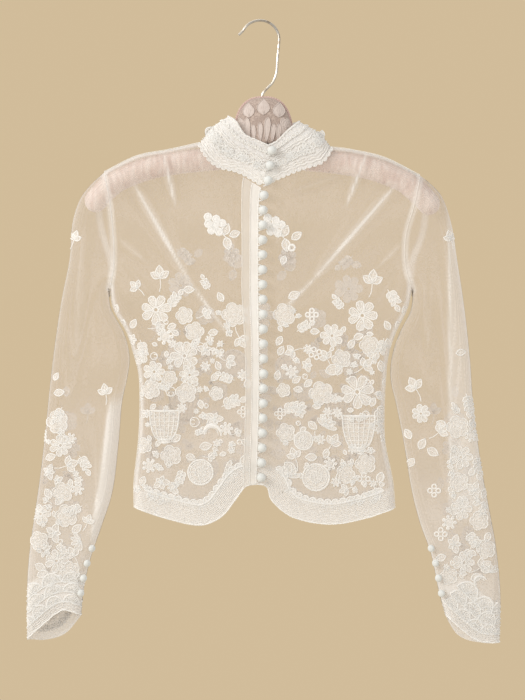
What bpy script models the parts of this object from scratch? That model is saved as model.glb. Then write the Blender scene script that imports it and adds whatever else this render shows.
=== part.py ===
# A sheer long-sleeved blouse hanging on its padded hanger.
# Metres, +Z up. The origin is the inner top of the hanger's hook, the front faces -Y
# and +X is the wearer's left. Every table below is in millimetres, and "right" and
# "left" are the wearer's.
import math

import bmesh
import bpy
import numpy as np
from mathutils import Vector

MM = 0.001

# Cloth
WALL = 1.2
SEAM_GAP = 0.3
DEPTH_AT_SHOULDER = 17.8
DEPTH_AT_HEM = 10.0
SHOULDER_Z = -215.0
LOWEST_Z = -740.0
FOLD_STEPS = (0.0, 0.12, 0.46)  # shares of the depth, where a closed edge is rounded over

# Each row is (x, z) along an edge of the flat outline.
RIGHT = {
    "shoulder": [(-72, -145), (-108, -153), (-148, -161), (-187, -180)],  # neck to shoulder point
    "neck": [(4, -196), (-24, -180), (-48, -174), (-62, -163), (-72, -145)],  # centre to shoulder
    "sleeve_head": [(-204, -196), (-217, -214), (-226, -244)],  # shoulder point to the armpit's level
    "armhole_front": [(-187, -180), (-180, -214), (-175, -262), (-175, -296), (-180, -320)],
    "armhole_back": [(-187, -180), (-195, -208), (-192, -246), (-181, -284), (-180, -320)],
    "collar_fold": [(-72, -145), (-57, -126), (-38, -113)],  # neck to the wing's peak
    "collar_top": [(10, -149), (-4, -143), (-18, -136), (-28, -121), (-38, -113)],
    "hem": [(-4, -555), (-17, -558), (-30, -575), (-46, -594), (-72, -604), (-112, -596), (-151, -583)],
    "cuff_front": [(-280, -742), (-258, -722), (-236, -706), (-214, -712)],  # outer to inner fold
    "cuff_back": [(-280, -742), (-258, -743), (-234, -735), (-214, -712)],
}
LEFT = {
    "shoulder": [(85, -150), (113, -154), (150, -163), (192, -184)],
    "neck": [(4, -196), (24, -186), (52, -175), (74, -168), (85, -150)],
    "sleeve_head": [(206, -195), (220, -212), (231, -246)],
    "armhole_front": [(192, -184), (184, -222), (174, -258), (174, -294), (182, -322)],
    "armhole_back": [(192, -184), (200, -212), (197, -250), (184, -288), (182, -322)],
    "collar_fold": [(85, -150), (72, -134), (47, -119)],
    "collar_top": [(10, -149), (20, -144), (32, -132), (47, -119)],
    "hem": [(-4, -555), (8, -558), (14, -575), (40, -595), (84, -603), (126, -596), (162, -584)],
    "cuff_front": [(288, -745), (262, -743), (242, -730), (222, -712)],
    "cuff_back": [(288, -745), (262, -746), (238, -737), (222, -712)],
}
CENTRE_FRONT = [(4, -196), (-1, -216), (-2, -300), (-1, -430), (-4, -555)]
COLLAR_FRONT = [(4, -196), (7, -172), (10, -149)]
BACK_NECK = [(-72, -145), (-34, -154), (6, -157), (48, -156), (85, -150)]
BACK_COLLAR_TOP = [(-38, -113), (-8, -119), (24, -121), (47, -119)]
BODY_SIDES = [  # z, right side x, left side x, from the hem corner to the underarm
    (-583, -151, 162),
    (-550, -151, 159),
    (-505, -146, 150),
    (-465, -144, 149),
    (-425, -145, 151),
    (-400, -151, 154),
    (-372, -160, 163),
    (-346, -175, 176),
    (-321, -180, 182),
]
SLEEVE_RIGHT = [  # outer x, outer z, inner x, inner z, from the armpit to the wrist
    (-229, -285, -178, -345),
    (-238, -330, -163, -373),
    (-244, -368, -156, -400),
    (-249, -405, -158, -424),
    (-254, -450, -165, -458),
    (-259, -500, -169, -505),
    (-265, -550, -176, -562),
    (-271, -592, -189, -604),
    (-277, -635, -203, -645),
    (-280, -680, -211, -682),
]
SLEEVE_LEFT = [
    (237, -285, 180, -347),
    (244, -330, 167, -373),
    (249, -370, 158, -400),
    (253, -410, 156, -428),
    (256, -455, 163, -460),
    (262, -505, 172, -505),
    (269, -550, 181, -560),
    (277, -592, 191, -600),
    (284, -632, 205, -640),
    (289, -685, 214, -684),
]
FOLDS = [  # start x, start z, end x, end z, half width, height: soft ridges, the same on front and back
    (-150, -197, -84, -313, 11, 2.2),
    (-84, -313, -40, -372, 10, 1.6),
    (162, -197, 61, -313, 11, 2.2),
    (61, -313, 24, -350, 10, 1.6),
    (-115, -160, -101, -222, 8, 1.8),
    (127, -160, 103, -222, 8, 1.8),
    (225, -230, 226, -590, 9, 1.8),
    (-179, -450, -196, -640, 9, 1.8),
    (-212, -250, -222, -400, 10, 1.4),
    (-120, -440, -118, -560, 12, 1.2),
    (118, -430, 124, -556, 12, 1.2),
]
UNDERARM_CLEAR = (1.2, -2.0)  # the sleeve's underarm point from the body's: outward, up

# Where the corners of a panel fall, as shares of its edges
UNDERARM_SHARE = 0.64
UNDERARM_CROWDING = 1.5  # over 1, it draws the sleeve's rows together along the inner fold's start
NECK_SHARE = 0.4
BACK_NECK_SHARES = (0.32, 0.68)

# How many points each stretch takes, beside the close ones at its folds
SIDE_ROWS, ARMHOLE_POINTS = 13, 5
NECK_POINTS, SHOULDER_POINTS = 5, 5
BACK_NECK_POINTS = 7
PLACKET_ROWS = 24

# Corners of the grids: share, folded before it, folded after it
BODY_ROWS = (
    [(0, False, False), (UNDERARM_SHARE, False, True), (1, True, False)],
    [SIDE_ROWS, ARMHOLE_POINTS],
)
FRONT_COLUMNS = (
    [(0, False, False), (NECK_SHARE, True, False), (1, True, False)],
    [NECK_POINTS, SHOULDER_POINTS],
)
BACK_COLUMNS = (
    [(0, False, True), (BACK_NECK_SHARES[0], False, True), (BACK_NECK_SHARES[1], True, False), (1, True, False)],
    [SHOULDER_POINTS, BACK_NECK_POINTS, SHOULDER_POINTS],
)
SLEEVE_COLUMNS = ([(0, False, True), (1, True, False)], [ARMHOLE_POINTS])
SLEEVE_ROWS = ([(0, False, False), (1, False, False)], [21])
COLLAR_ROWS = ([(0, False, False), (1, False, False)], [5])
COLLAR_FRONT_COLUMNS = ([(0, False, False), (1, True, False)], [NECK_POINTS])
COLLAR_BACK_COLUMNS = ([(0, False, True), (1, True, False)], [BACK_NECK_POINTS])

# Closure
PLACKET_WIDTH = 17.0
BUTTON_COUNT = 23
BUTTON_FIRST_Z, BUTTON_LAST_Z = -157.0, -546.0
BUTTON_RADIUS, BUTTON_HEIGHT = 5.7, 4.6
BUTTON_FROM_EDGE = 5.4
CUFF_BUTTONS = 4
CUFF_BUTTON_RADIUS, CUFF_BUTTON_HEIGHT = 4.6, 3.8
CUFF_BUTTON_TOP_Z, CUFF_BUTTON_STEP, CUFF_BUTTON_IN = -630.0, 18.0, 5.0

# Hanger
PAD_HALF_HEIGHT, PAD_HALF_DEPTH = 14.6, 13.8
PAD_PATH = [
    (-205, -226), (-193, -210), (-182, -199), (-165, -187.5), (-124, -173.5), (-60, -165),
    (4, -162.5), (70, -166.5), (128, -175), (168, -189), (184, -200), (197, -212), (211, -229),
]
COVER_CENTRE_X, COVER_BASE_Z, COVER_TOP_Z = 4.0, -146.5, -91.0
COVER_HALF_WIDTH, COVER_HALF_DEPTH, COVER_SQUARENESS = 35.0, 12.0, 2.6
WIRE_RADIUS = 1.5
HOOK_RADIUS = 21.5  # to the inside of the wire
HOOK_SWEEP = 152.0
HOOK_TIP = (-25.5, -16.0)
HOOK_STEM = [(21, -44), (19.5, -62), (15, -73), (8, -80.5), (3.4, -86), (2.5, -90.2)]


def smooth_line(points, count=160):
    """A smooth line through the points, as count + 1 places an equal length apart."""
    knots = np.array(points, float)
    padded = np.vstack([2 * knots[0] - knots[1], knots, 2 * knots[-1] - knots[-2]])
    shares = np.linspace(0, 1, 24, endpoint=False)[:, None]
    places = []
    for before, start, end, after in zip(padded, padded[1:], padded[2:], padded[3:]):
        places.append(0.5 * (
            2 * start
            + (end - before) * shares
            + (2 * before - 5 * start + 4 * end - after) * shares**2
            + (3 * start - before - 3 * end + after) * shares**3
        ))
    places = np.vstack(places + [knots[-1:]])
    lengths = np.concatenate([[0], np.cumsum(np.linalg.norm(np.diff(places, axis=0), axis=1))])
    wanted = np.linspace(0, lengths[-1], count + 1)
    return np.column_stack([np.interp(wanted, lengths, places[:, i]) for i in range(2)])


def on_line(line, share):
    at = np.clip(share, 0, 1) * (len(line) - 1)
    low = int(min(at, len(line) - 2))
    return line[low] + (line[low + 1] - line[low]) * (at - low)


def joined(first, first_share, second):
    """One edge of two smooth lines: the first takes its share of the length."""
    def place(share):
        if share <= first_share:
            return on_line(first, share / first_share)
        return on_line(second, (share - first_share) / (1 - first_share))
    return place


def along(line):
    return lambda share: on_line(line, share)


def side_lines(side, edges, sections):
    """The closed edges of one side of the flat outline, as smooth lines."""
    sign = -1 if side == "right" else 1
    column = 1 if side == "right" else 2
    body = [(row[column], row[0]) for row in BODY_SIDES]
    cuff = edges["cuff_front"]
    underarm = (body[-1][0] + sign * UNDERARM_CLEAR[0], body[-1][1] + UNDERARM_CLEAR[1])
    return {
        "shoulder": smooth_line(edges["shoulder"]),
        "collar_fold": smooth_line(edges["collar_fold"]),
        "body_side": smooth_line(body),
        "sleeve_outer": smooth_line(
            [edges["shoulder"][-1]] + edges["sleeve_head"] + [row[:2] for row in sections] + [cuff[0]]
        ),
        "sleeve_inner": smooth_line([underarm] + [row[2:] for row in sections] + [cuff[-1]]),
    }


LINES = {
    "right": side_lines("right", RIGHT, SLEEVE_RIGHT),
    "left": side_lines("left", LEFT, SLEEVE_LEFT),
}
CLOSED = [line for side in LINES.values() for line in side.values()]
STARTS = np.vstack([line[:-1] for line in CLOSED])
STEPS = np.vstack([np.diff(line, axis=0) for line in CLOSED])


def from_closed_edge(place):
    """The distance to the nearest closed edge, and the way straight in from it."""
    share = np.sum((place - STARTS) * STEPS, axis=1) / np.sum(STEPS**2, axis=1)
    nearest = STARTS + STEPS * np.clip(share, 0, 1)[:, None]
    away = place - nearest
    distances = np.linalg.norm(away, axis=1)
    closest = int(np.argmin(distances))
    return distances[closest], away[closest] / max(distances[closest], 1e-9)


def depth_at(z):
    share = np.clip((SHOULDER_Z - z) / (SHOULDER_Z - LOWEST_Z), 0, 1)
    return DEPTH_AT_SHOULDER + (DEPTH_AT_HEM - DEPTH_AT_SHOULDER) * share


def fold_height(place):
    """How far the folds lift the cloth at a place."""
    height = 0.0
    for x, z, end_x, end_z, half_width, tall in FOLDS:
        run = np.array([end_x - x, end_z - z])
        share = np.dot(place - (x, z), run) / np.dot(run, run)
        off = np.linalg.norm(place - (x, z) - run * np.clip(share, 0, 1))
        fade = math.sin(math.pi * np.clip(share * 0.9 + 0.05, 0, 1)) ** 0.6
        height += tall * fade * math.exp(-((off / half_width) ** 2))
    return height


def on_form(place, inward, face, lift=0.0, seam=0.0):
    """The cloth's point and outward normal over a place of the flat outline.

    face is -1 for the front and 1 for the back. Next to a closed edge the cloth rounds over.
    """
    distance, way_in = from_closed_edge(place)
    if distance < 0.05:
        way_in = from_closed_edge(place + inward)[1]
        distance = 0.0
    depth = depth_at(place[1])
    cosine = max(0.0, 1 - distance / depth)
    sine = math.sqrt(1 - cosine**2)
    normal = np.array([-way_in[0] * cosine, face * sine, -way_in[1] * cosine])
    point = np.array([place[0], face * (depth * sine + seam), place[1]])
    return point + normal * (lift + fold_height(place) * sine**2), normal


def patch(bottom, top, start, end):
    """A place of the flat outline from its share across and up four edges (a Coons patch)."""
    corners = [bottom(0), bottom(1), top(0), top(1)]

    def place(across, up):
        return (
            (1 - up) * bottom(across) + up * top(across)
            + (1 - across) * start(up) + across * end(up)
            - (1 - across) * (1 - up) * corners[0] - across * (1 - up) * corners[1]
            - (1 - across) * up * corners[2] - across * up * corners[3]
        )
    return place


def shares_through(length, depth, corners, counts):
    """Shares along a length that stop at each corner, with close steps on its folded sides.

    A corner is (share, folded before it, folded after it), and a count goes between two corners.
    """
    fold = min(depth / length, 0.3)
    shares = []
    for (start, _, after), (end, before, _), count in zip(corners, corners[1:], counts):
        low = start + (fold if after else 0.0)
        high = end - (fold if before else 0.0)
        stretch = list(np.linspace(low, high, count))
        if after:
            stretch = [start + step * fold for step in FOLD_STEPS] + stretch
        if before:
            stretch = stretch + [end - step * fold for step in reversed(FOLD_STEPS)]
        shares += stretch[1:] if shares else stretch
    return shares


def length_of(place, fixed, across):
    shares = np.linspace(0, 1, 9)
    line = np.array([place(s, fixed) if across else place(fixed, s) for s in shares])
    return float(np.sum(np.linalg.norm(np.diff(line, axis=0), axis=1)))


def panel_places(place, columns, rows):
    """A grid of places over a patch. columns and rows are each (corners, counts)."""
    row_count = len(shares_through(1, 0, *rows))
    column_count = len(shares_through(1, 0, *columns))
    across = []
    for i in range(row_count):
        up = i / (row_count - 1)
        depth = depth_at(place(0.5, up)[1])
        across.append(shares_through(length_of(place, up, True), depth, *columns))
    ups = []
    for j in range(column_count):
        share = j / (column_count - 1)
        depth = depth_at(place(share, 0.5)[1])
        ups.append(shares_through(length_of(place, share, False), depth, *rows))
    return np.array([
        [place(across[i][j], ups[j][i]) for j in range(column_count)] for i in range(row_count)
    ])


def wall_points(places, face, lift=0.0, seam=0.0):
    """The outer and inner points of a wall over a grid of places."""
    outer, inner = [], []
    for i, row in enumerate(places):
        for j, place in enumerate(row):
            neighbour = places[min(max(i, 1), len(places) - 2), min(max(j, 1), len(row) - 2)]
            inward = neighbour - place
            inward = inward / max(np.linalg.norm(inward), 1e-6)
            point, normal = on_form(place, inward, face, lift, seam)
            outer.append(point)
            inner.append(point - normal * WALL)
    shape = places.shape[:2] + (3,)
    return np.array(outer).reshape(shape), np.array(inner).reshape(shape)


def material(name, colour, roughness, metallic=0.0):
    made = bpy.data.materials.new(name)
    made.use_nodes = True
    surface = made.node_tree.nodes["Principled BSDF"]
    surface.inputs["Base Color"].default_value = (*colour, 1.0)
    surface.inputs["Roughness"].default_value = roughness
    surface.inputs["Metallic"].default_value = metallic
    return made


def add_mesh(name, points, faces, made, smooth=True):
    """A named object from points in millimetres, with its faces turned outwards."""
    mesh = bpy.data.meshes.new(name)
    mesh.from_pydata([tuple(point * MM) for point in points], [], faces)
    work = bmesh.new()
    work.from_mesh(mesh)
    bmesh.ops.recalc_face_normals(work, faces=work.faces)
    work.to_mesh(mesh)
    work.free()
    if smooth:
        mesh.shade_smooth()
        mesh.set_sharp_from_angle(angle=math.radians(50))
    mesh.materials.append(made)
    thing = bpy.data.objects.new(name, mesh)
    bpy.context.scene.collection.objects.link(thing)
    return thing


def add_wall(name, outer, inner, made, ring=False):
    """A closed wall between two grids of points. A ring's columns close on themselves."""
    rows, columns = outer.shape[:2]
    points = np.vstack([outer.reshape(-1, 3), inner.reshape(-1, 3)])
    half = rows * columns

    def number(i, j, layer):
        return layer * half + i * columns + j % columns

    faces = []
    last = columns if ring else columns - 1
    for i in range(rows - 1):
        for j in range(last):
            faces.append([number(i, j, 0), number(i, j + 1, 0), number(i + 1, j + 1, 0), number(i + 1, j, 0)])
            faces.append([number(i, j, 1), number(i + 1, j, 1), number(i + 1, j + 1, 1), number(i, j + 1, 1)])
    for j in range(last):
        for i in (0, rows - 1):
            faces.append([number(i, j, 0), number(i, j, 1), number(i, j + 1, 1), number(i, j + 1, 0)])
    if not ring:
        for i in range(rows - 1):
            for j in (0, columns - 1):
                faces.append([number(i, j, 0), number(i + 1, j, 0), number(i + 1, j, 1), number(i, j, 1)])
    return add_mesh(name, points, faces, made)


def moved_in(places, edges, gap=SEAM_GAP):
    """Draws the named edges of a grid in by the gap, along the grid."""
    moved = places.copy()
    pairs = {"bottom": (0, 1), "top": (-1, -2)}
    for edge in edges:
        if edge in pairs:
            at, inside = pairs[edge]
            way = places[inside] - places[at]
            moved[at] += way / np.linalg.norm(way, axis=1)[:, None] * gap
        else:
            at, inside = (0, 1) if edge == "start" else (-1, -2)
            way = places[:, inside] - places[:, at]
            moved[:, at] += way / np.linalg.norm(way, axis=1)[:, None] * gap
    return moved


def front_patch(side):
    edges = RIGHT if side == "right" else LEFT
    lines = LINES[side]
    top = joined(smooth_line(edges["neck"]), NECK_SHARE, lines["shoulder"])
    outside = joined(lines["body_side"], UNDERARM_SHARE, smooth_line(edges["armhole_front"])[::-1])
    return patch(along(smooth_line(edges["hem"])), top, along(smooth_line(CENTRE_FRONT)[::-1]), outside)


def back_patch():
    """One back panel: the right shoulder, the neck and the left shoulder are its top edge."""
    hem = joined(smooth_line(RIGHT["hem"])[::-1], 0.48, smooth_line(LEFT["hem"]))
    first, second = BACK_NECK_SHARES
    neck = joined(smooth_line(BACK_NECK), (second - first) / (1 - first), LINES["left"]["shoulder"])
    neck_line = np.array([neck(share) for share in np.linspace(0, 1, 641)])
    top = joined(LINES["right"]["shoulder"][::-1], first, neck_line)
    right, left = (
        joined(LINES[side]["body_side"], UNDERARM_SHARE, smooth_line(edges["armhole_back"])[::-1])
        for side, edges in (("right", RIGHT), ("left", LEFT))
    )
    return patch(hem, top, right, left)


def build_body(cloth):
    """Both fronts and the back. Returns the places of each, which the sleeves and collar meet."""
    panels = {}
    for side in ("right", "left"):
        panels[side] = panel_places(front_patch(side), FRONT_COLUMNS, BODY_ROWS)
        outer, inner = wall_points(moved_in(panels[side], ["start"]), -1, seam=SEAM_GAP / 2)
        add_wall(f"front_{side}", outer, inner, cloth)
    panels["back"] = panel_places(back_patch(), BACK_COLUMNS, BODY_ROWS)
    outer, inner = wall_points(panels["back"], 1, seam=SEAM_GAP / 2)
    add_wall("back", outer, inner, cloth)
    return panels


def armhole_points(panels, side, face):
    """The places of the body's own armhole edge, from the shoulder point to the underarm."""
    if face < 0:
        column = panels[side][:, -1]
    else:
        column = panels["back"][:, 0 if side == "right" else -1]
    return column[SIDE_ROWS - 1:][::-1]


def sleeve_places(panels, side, face):
    """Places over one half of a sleeve, from the armhole down, outer fold to inner fold."""
    edges = RIGHT if side == "right" else LEFT
    lines = LINES[side]
    name = "front" if face < 0 else "back"
    outer, inner = lines["sleeve_outer"], lines["sleeve_inner"]
    half = patch(
        along(np.array([outer[0], inner[0]])), along(smooth_line(edges[f"cuff_{name}"])),
        along(outer), lambda share: on_line(inner, share**UNDERARM_CROWDING),
    )
    places = panel_places(half, SLEEVE_COLUMNS, SLEEVE_ROWS)
    places[0] = armhole_points(panels, side, face)
    way = np.gradient(places[0], axis=0)
    outward = np.column_stack([-way[:, 1], way[:, 0]]) * (-1 if side == "right" else 1)
    places[0] += outward / np.linalg.norm(outward, axis=1)[:, None] * SEAM_GAP
    places[0, -1] = lines["sleeve_inner"][0]
    return places


def build_sleeves(panels, cloth):
    for side in ("right", "left"):
        front = wall_points(sleeve_places(panels, side, -1), -1)
        back = wall_points(sleeve_places(panels, side, 1), 1)
        outer, inner = (
            np.concatenate([front[layer], back[layer][:, -2:0:-1]], axis=1) for layer in (0, 1)
        )
        add_wall(f"sleeve_{side}", outer, inner, cloth, ring=True)


def collar_front_places(panels, side):
    edges = RIGHT if side == "right" else LEFT
    wing = patch(
        along(smooth_line(edges["neck"])), along(smooth_line(edges["collar_top"])),
        along(smooth_line(COLLAR_FRONT)), along(LINES[side]["collar_fold"]),
    )
    places = panel_places(wing, COLLAR_FRONT_COLUMNS, COLLAR_ROWS)
    places[0] = panels[side][-1, :places.shape[1]]
    return moved_in(places, ["start", "bottom"])


def build_collar(panels, lace):
    """One band: round from the right wing's front edge, behind the neck, to the left wing's."""
    back = patch(
        along(smooth_line(BACK_NECK)), along(smooth_line(BACK_COLLAR_TOP)),
        along(LINES["right"]["collar_fold"]), along(LINES["left"]["collar_fold"]),
    )
    places = panel_places(back, COLLAR_BACK_COLUMNS, COLLAR_ROWS)
    spare = (panels["back"].shape[1] - places.shape[1]) // 2
    places[0] = panels["back"][-1, spare:-spare]
    behind = wall_points(moved_in(places, ["bottom"]), 1)
    right = wall_points(collar_front_places(panels, "right"), -1)
    left = wall_points(collar_front_places(panels, "left"), -1)
    outer, inner = (
        np.concatenate([right[k], behind[k][:, 1:-1], left[k][:, ::-1]], axis=1) for k in (0, 1)
    )
    add_wall("collar", outer, inner, lace)


def build_placket(band):
    """The band beside the buttons lies on the right front, so it is made from its places."""
    place = front_patch("right")
    rows = []
    for up in np.linspace(0.004, 0.985, PLACKET_ROWS):
        width = length_of(place, up, True)
        rows.append([place((SEAM_GAP + share * PLACKET_WIDTH) / width, up) for share in (0, 0.5, 1)])
    outer, inner = wall_points(np.array(rows), -1, lift=WALL + SEAM_GAP, seam=SEAM_GAP / 2)
    add_wall("placket_right", outer, inner, band)


def ball(name, centre, normal, radius, height, made):
    """A covered ball button, a little flat along its normal."""
    work = bmesh.new()
    bmesh.ops.create_uvsphere(work, u_segments=10, v_segments=6, radius=1.0)
    mesh = bpy.data.meshes.new(name)
    for vertex in work.verts:
        vertex.co.x *= radius * MM
        vertex.co.y *= radius * MM
        vertex.co.z *= height * MM
    work.to_mesh(mesh)
    work.free()
    mesh.shade_smooth()
    mesh.materials.append(made)
    thing = bpy.data.objects.new(name, mesh)
    bpy.context.scene.collection.objects.link(thing)
    thing.rotation_mode = "QUATERNION"
    thing.rotation_quaternion = Vector(normal).to_track_quat("Z", "Y")
    thing.location = tuple(centre * MM)
    return thing


def front_edge_x(z):
    """The x of the right front's edge at a height, up the body and then the collar."""
    edge = np.vstack([smooth_line(CENTRE_FRONT)[::-1], smooth_line(COLLAR_FRONT)])
    return float(np.interp(z, edge[:, 1], edge[:, 0]))


def build_front_buttons(cover):
    for count, z in enumerate(np.linspace(BUTTON_FIRST_Z, BUTTON_LAST_Z, BUTTON_COUNT), 1):
        centre = np.array([
            front_edge_x(z) + BUTTON_FROM_EDGE, -(depth_at(z) + 2 * SEAM_GAP + BUTTON_HEIGHT), z,
        ])
        ball(f"button_{count:02d}", centre, (0, -1, 0), BUTTON_RADIUS, BUTTON_HEIGHT, cover)


def build_cuff_buttons(cover):
    for side in ("right", "left"):
        fold = LINES[side]["sleeve_inner"]
        outward = -1 if side == "right" else 1
        for number in range(CUFF_BUTTONS):
            z = CUFF_BUTTON_TOP_Z - number * CUFF_BUTTON_STEP
            x = float(np.interp(-z, -fold[:, 1], fold[:, 0])) + outward * CUFF_BUTTON_IN
            lift = CUFF_BUTTON_HEIGHT + 2 * SEAM_GAP
            centre, normal = on_form(np.array([x, z]), np.zeros(2), -1, lift=lift)
            name = f"cuff_button_{side}_{number + 1}"
            ball(name, centre, normal, CUFF_BUTTON_RADIUS, CUFF_BUTTON_HEIGHT, cover)


def add_rings(name, rings, ends, made):
    """A solid through rings of points, closed by one point at each end."""
    count = len(rings[0])
    points = np.vstack([ends[0][None]] + rings + [ends[1][None]])
    last = len(points) - 1
    faces = []
    for j in range(count):
        after = (j + 1) % count
        faces.append([0, 1 + after, 1 + j])
        faces.append([last, 1 + (len(rings) - 1) * count + j, 1 + (len(rings) - 1) * count + after])
        for i in range(len(rings) - 1):
            low, high = 1 + i * count, 1 + (i + 1) * count
            faces.append([low + j, low + after, high + after, high + j])
    return add_mesh(name, points, faces, made)


def build_pad(satin):
    """The hanger's two padded arms, as one tube whose ends round off."""
    path = smooth_line(PAD_PATH, 120)
    length = float(np.sum(np.linalg.norm(np.diff(path, axis=0), axis=1)))
    turns = np.linspace(0, 2 * math.pi, 16, endpoint=False)
    end_share = PAD_HALF_HEIGHT / length
    angles = np.radians([18, 36, 54, 72])
    near = [end_share * (1 - math.cos(angle)) for angle in angles]
    shares = near + list(np.linspace(end_share, 1 - end_share, 27)) + [1 - s for s in reversed(near)]
    rings = []
    for share in shares:
        from_end = min(share, 1 - share) / end_share
        size = math.sqrt(1 - max(0.0, 1 - from_end) ** 2)
        middle = on_line(path, share)
        way = on_line(path, share + 0.004) - on_line(path, share - 0.004)
        way = way / np.linalg.norm(way)
        across = np.array([-way[1], 0, way[0]])
        centre = np.array([middle[0], 0, middle[1]])
        rings.append(np.array([
            centre + size * (across * PAD_HALF_HEIGHT * math.cos(a) + np.array([0, PAD_HALF_DEPTH, 0]) * math.sin(a))
            for a in turns
        ]))
    ends = [np.array([path[k][0], 0, path[k][1]]) for k in (0, -1)]
    add_rings("hanger_pad", rings, ends, satin)


def build_cover(satin):
    """The flattened dome of cloth that covers the middle of the hanger."""
    turns = np.linspace(0, 2 * math.pi, 28, endpoint=False)
    height = COVER_TOP_Z - COVER_BASE_Z
    rings = []
    for share in (0, 0.2, 0.4, 0.55, 0.68, 0.79, 0.88, 0.95, 0.99):
        size = (1 - share**COVER_SQUARENESS) ** (1 / COVER_SQUARENESS)
        rings.append(np.array([
            [
                COVER_CENTRE_X + COVER_HALF_WIDTH * size * math.cos(a),
                COVER_HALF_DEPTH * size * math.sin(a),
                COVER_BASE_Z + height * share,
            ]
            for a in turns
        ]))
    ends = [np.array([COVER_CENTRE_X, 0, z]) for z in (COVER_BASE_Z, COVER_TOP_Z)]
    add_rings("hanger_neck_cover", rings, ends, satin)


def build_hook(steel):
    """The wire hook: an arc over the origin, its tip, and the stem down to the cover."""
    radius = HOOK_RADIUS + WIRE_RADIUS
    angles = np.radians(np.linspace(HOOK_SWEEP, -8, 15))
    arc = [(radius * math.cos(a), radius * math.sin(a) - HOOK_RADIUS) for a in angles]
    route = smooth_line([HOOK_TIP] + arc + HOOK_STEM, 56)
    curve = bpy.data.curves.new("hanger_hook", "CURVE")
    curve.dimensions = "3D"
    curve.bevel_depth = WIRE_RADIUS * MM
    curve.bevel_resolution = 2
    curve.use_fill_caps = True
    spline = curve.splines.new("POLY")
    spline.points.add(len(route) - 1)
    for point, (x, z) in zip(spline.points, route):
        point.co = (x * MM, 0, z * MM, 1)
    curve.materials.append(steel)
    thing = bpy.data.objects.new("hanger_hook", curve)
    bpy.context.scene.collection.objects.link(thing)


def main():
    for thing in list(bpy.data.objects):
        bpy.data.objects.remove(thing)
    tulle = material("ivory_tulle", (0.80, 0.74, 0.65), 0.8)
    lace = material("ivory_lace", (0.86, 0.82, 0.75), 0.85)
    cover = material("button_cover", (0.88, 0.86, 0.80), 0.6)
    panels = build_body(tulle)
    build_sleeves(panels, tulle)
    build_collar(panels, lace)
    build_placket(material("placket_band", (0.84, 0.79, 0.71), 0.75))
    build_front_buttons(cover)
    build_cuff_buttons(cover)
    satin = material("pad_satin", (0.72, 0.55, 0.47), 0.5)
    build_pad(satin)
    build_cover(material("cover_satin", (0.50, 0.36, 0.30), 0.55))
    build_hook(material("steel_wire", (0.42, 0.37, 0.30), 0.35, 1.0))


main()
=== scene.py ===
# The sheer blouse on its padded hanger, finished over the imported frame.
# Tables are in millimetres from the inner top of the hook: x to the wearer's left, z up,
# with the front facing -y. Right and left are the wearer's.
import math

import bpy
import numpy as np
from mathutils import Matrix, Vector


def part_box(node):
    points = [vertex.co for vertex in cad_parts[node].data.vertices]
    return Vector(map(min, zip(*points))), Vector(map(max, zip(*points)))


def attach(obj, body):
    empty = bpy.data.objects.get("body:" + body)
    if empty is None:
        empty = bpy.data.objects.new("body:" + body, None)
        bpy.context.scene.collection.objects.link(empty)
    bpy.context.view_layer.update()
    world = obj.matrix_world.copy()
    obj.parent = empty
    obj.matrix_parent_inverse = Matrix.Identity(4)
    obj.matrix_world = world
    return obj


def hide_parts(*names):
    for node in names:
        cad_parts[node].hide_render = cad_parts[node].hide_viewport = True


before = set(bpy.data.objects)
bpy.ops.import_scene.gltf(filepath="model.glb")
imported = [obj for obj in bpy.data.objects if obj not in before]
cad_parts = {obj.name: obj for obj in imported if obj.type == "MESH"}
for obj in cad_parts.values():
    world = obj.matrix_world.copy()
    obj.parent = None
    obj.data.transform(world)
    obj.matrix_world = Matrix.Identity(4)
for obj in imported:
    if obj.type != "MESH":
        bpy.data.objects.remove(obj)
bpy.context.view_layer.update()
mm = 0.001


def carry(piece, slot, *nodes):  # the piece stands for these nodes, which it hides, and hangs from the root; the slot is not used
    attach(piece, "root")
    if nodes:
        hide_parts(*nodes)


studio = {
    "cameraAway": 2.4,
    "seenHeight": 0.84,
    "cameraX": 0.003,
    "cameraZ": -0.394,
    "background": (0.64, 0.505, 0.325),
    "ambient": (0.78, 0.775, 0.765),  # what lights the cloth from all round
    "floorColour": (0.80, 0.74, 0.64),
    "floorShade": (0.74, 0.68, 0.58),
    "floorZ": -2.0,
    "floorSize": 5.0,
    "lights": [  # name, place, size, watts, colour
        ("key", (-2.1, -1.7, 0.8), 1.4, 50, (1.0, 0.99, 0.97)),
        ("fill", (1.8, -1.7, -0.5), 1.8, 4, (1.0, 0.98, 0.95)),
        ("rear", (-0.4, 1.9, 0.8), 1.6, 14, (1.0, 0.98, 0.95)),
    ],
}


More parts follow.
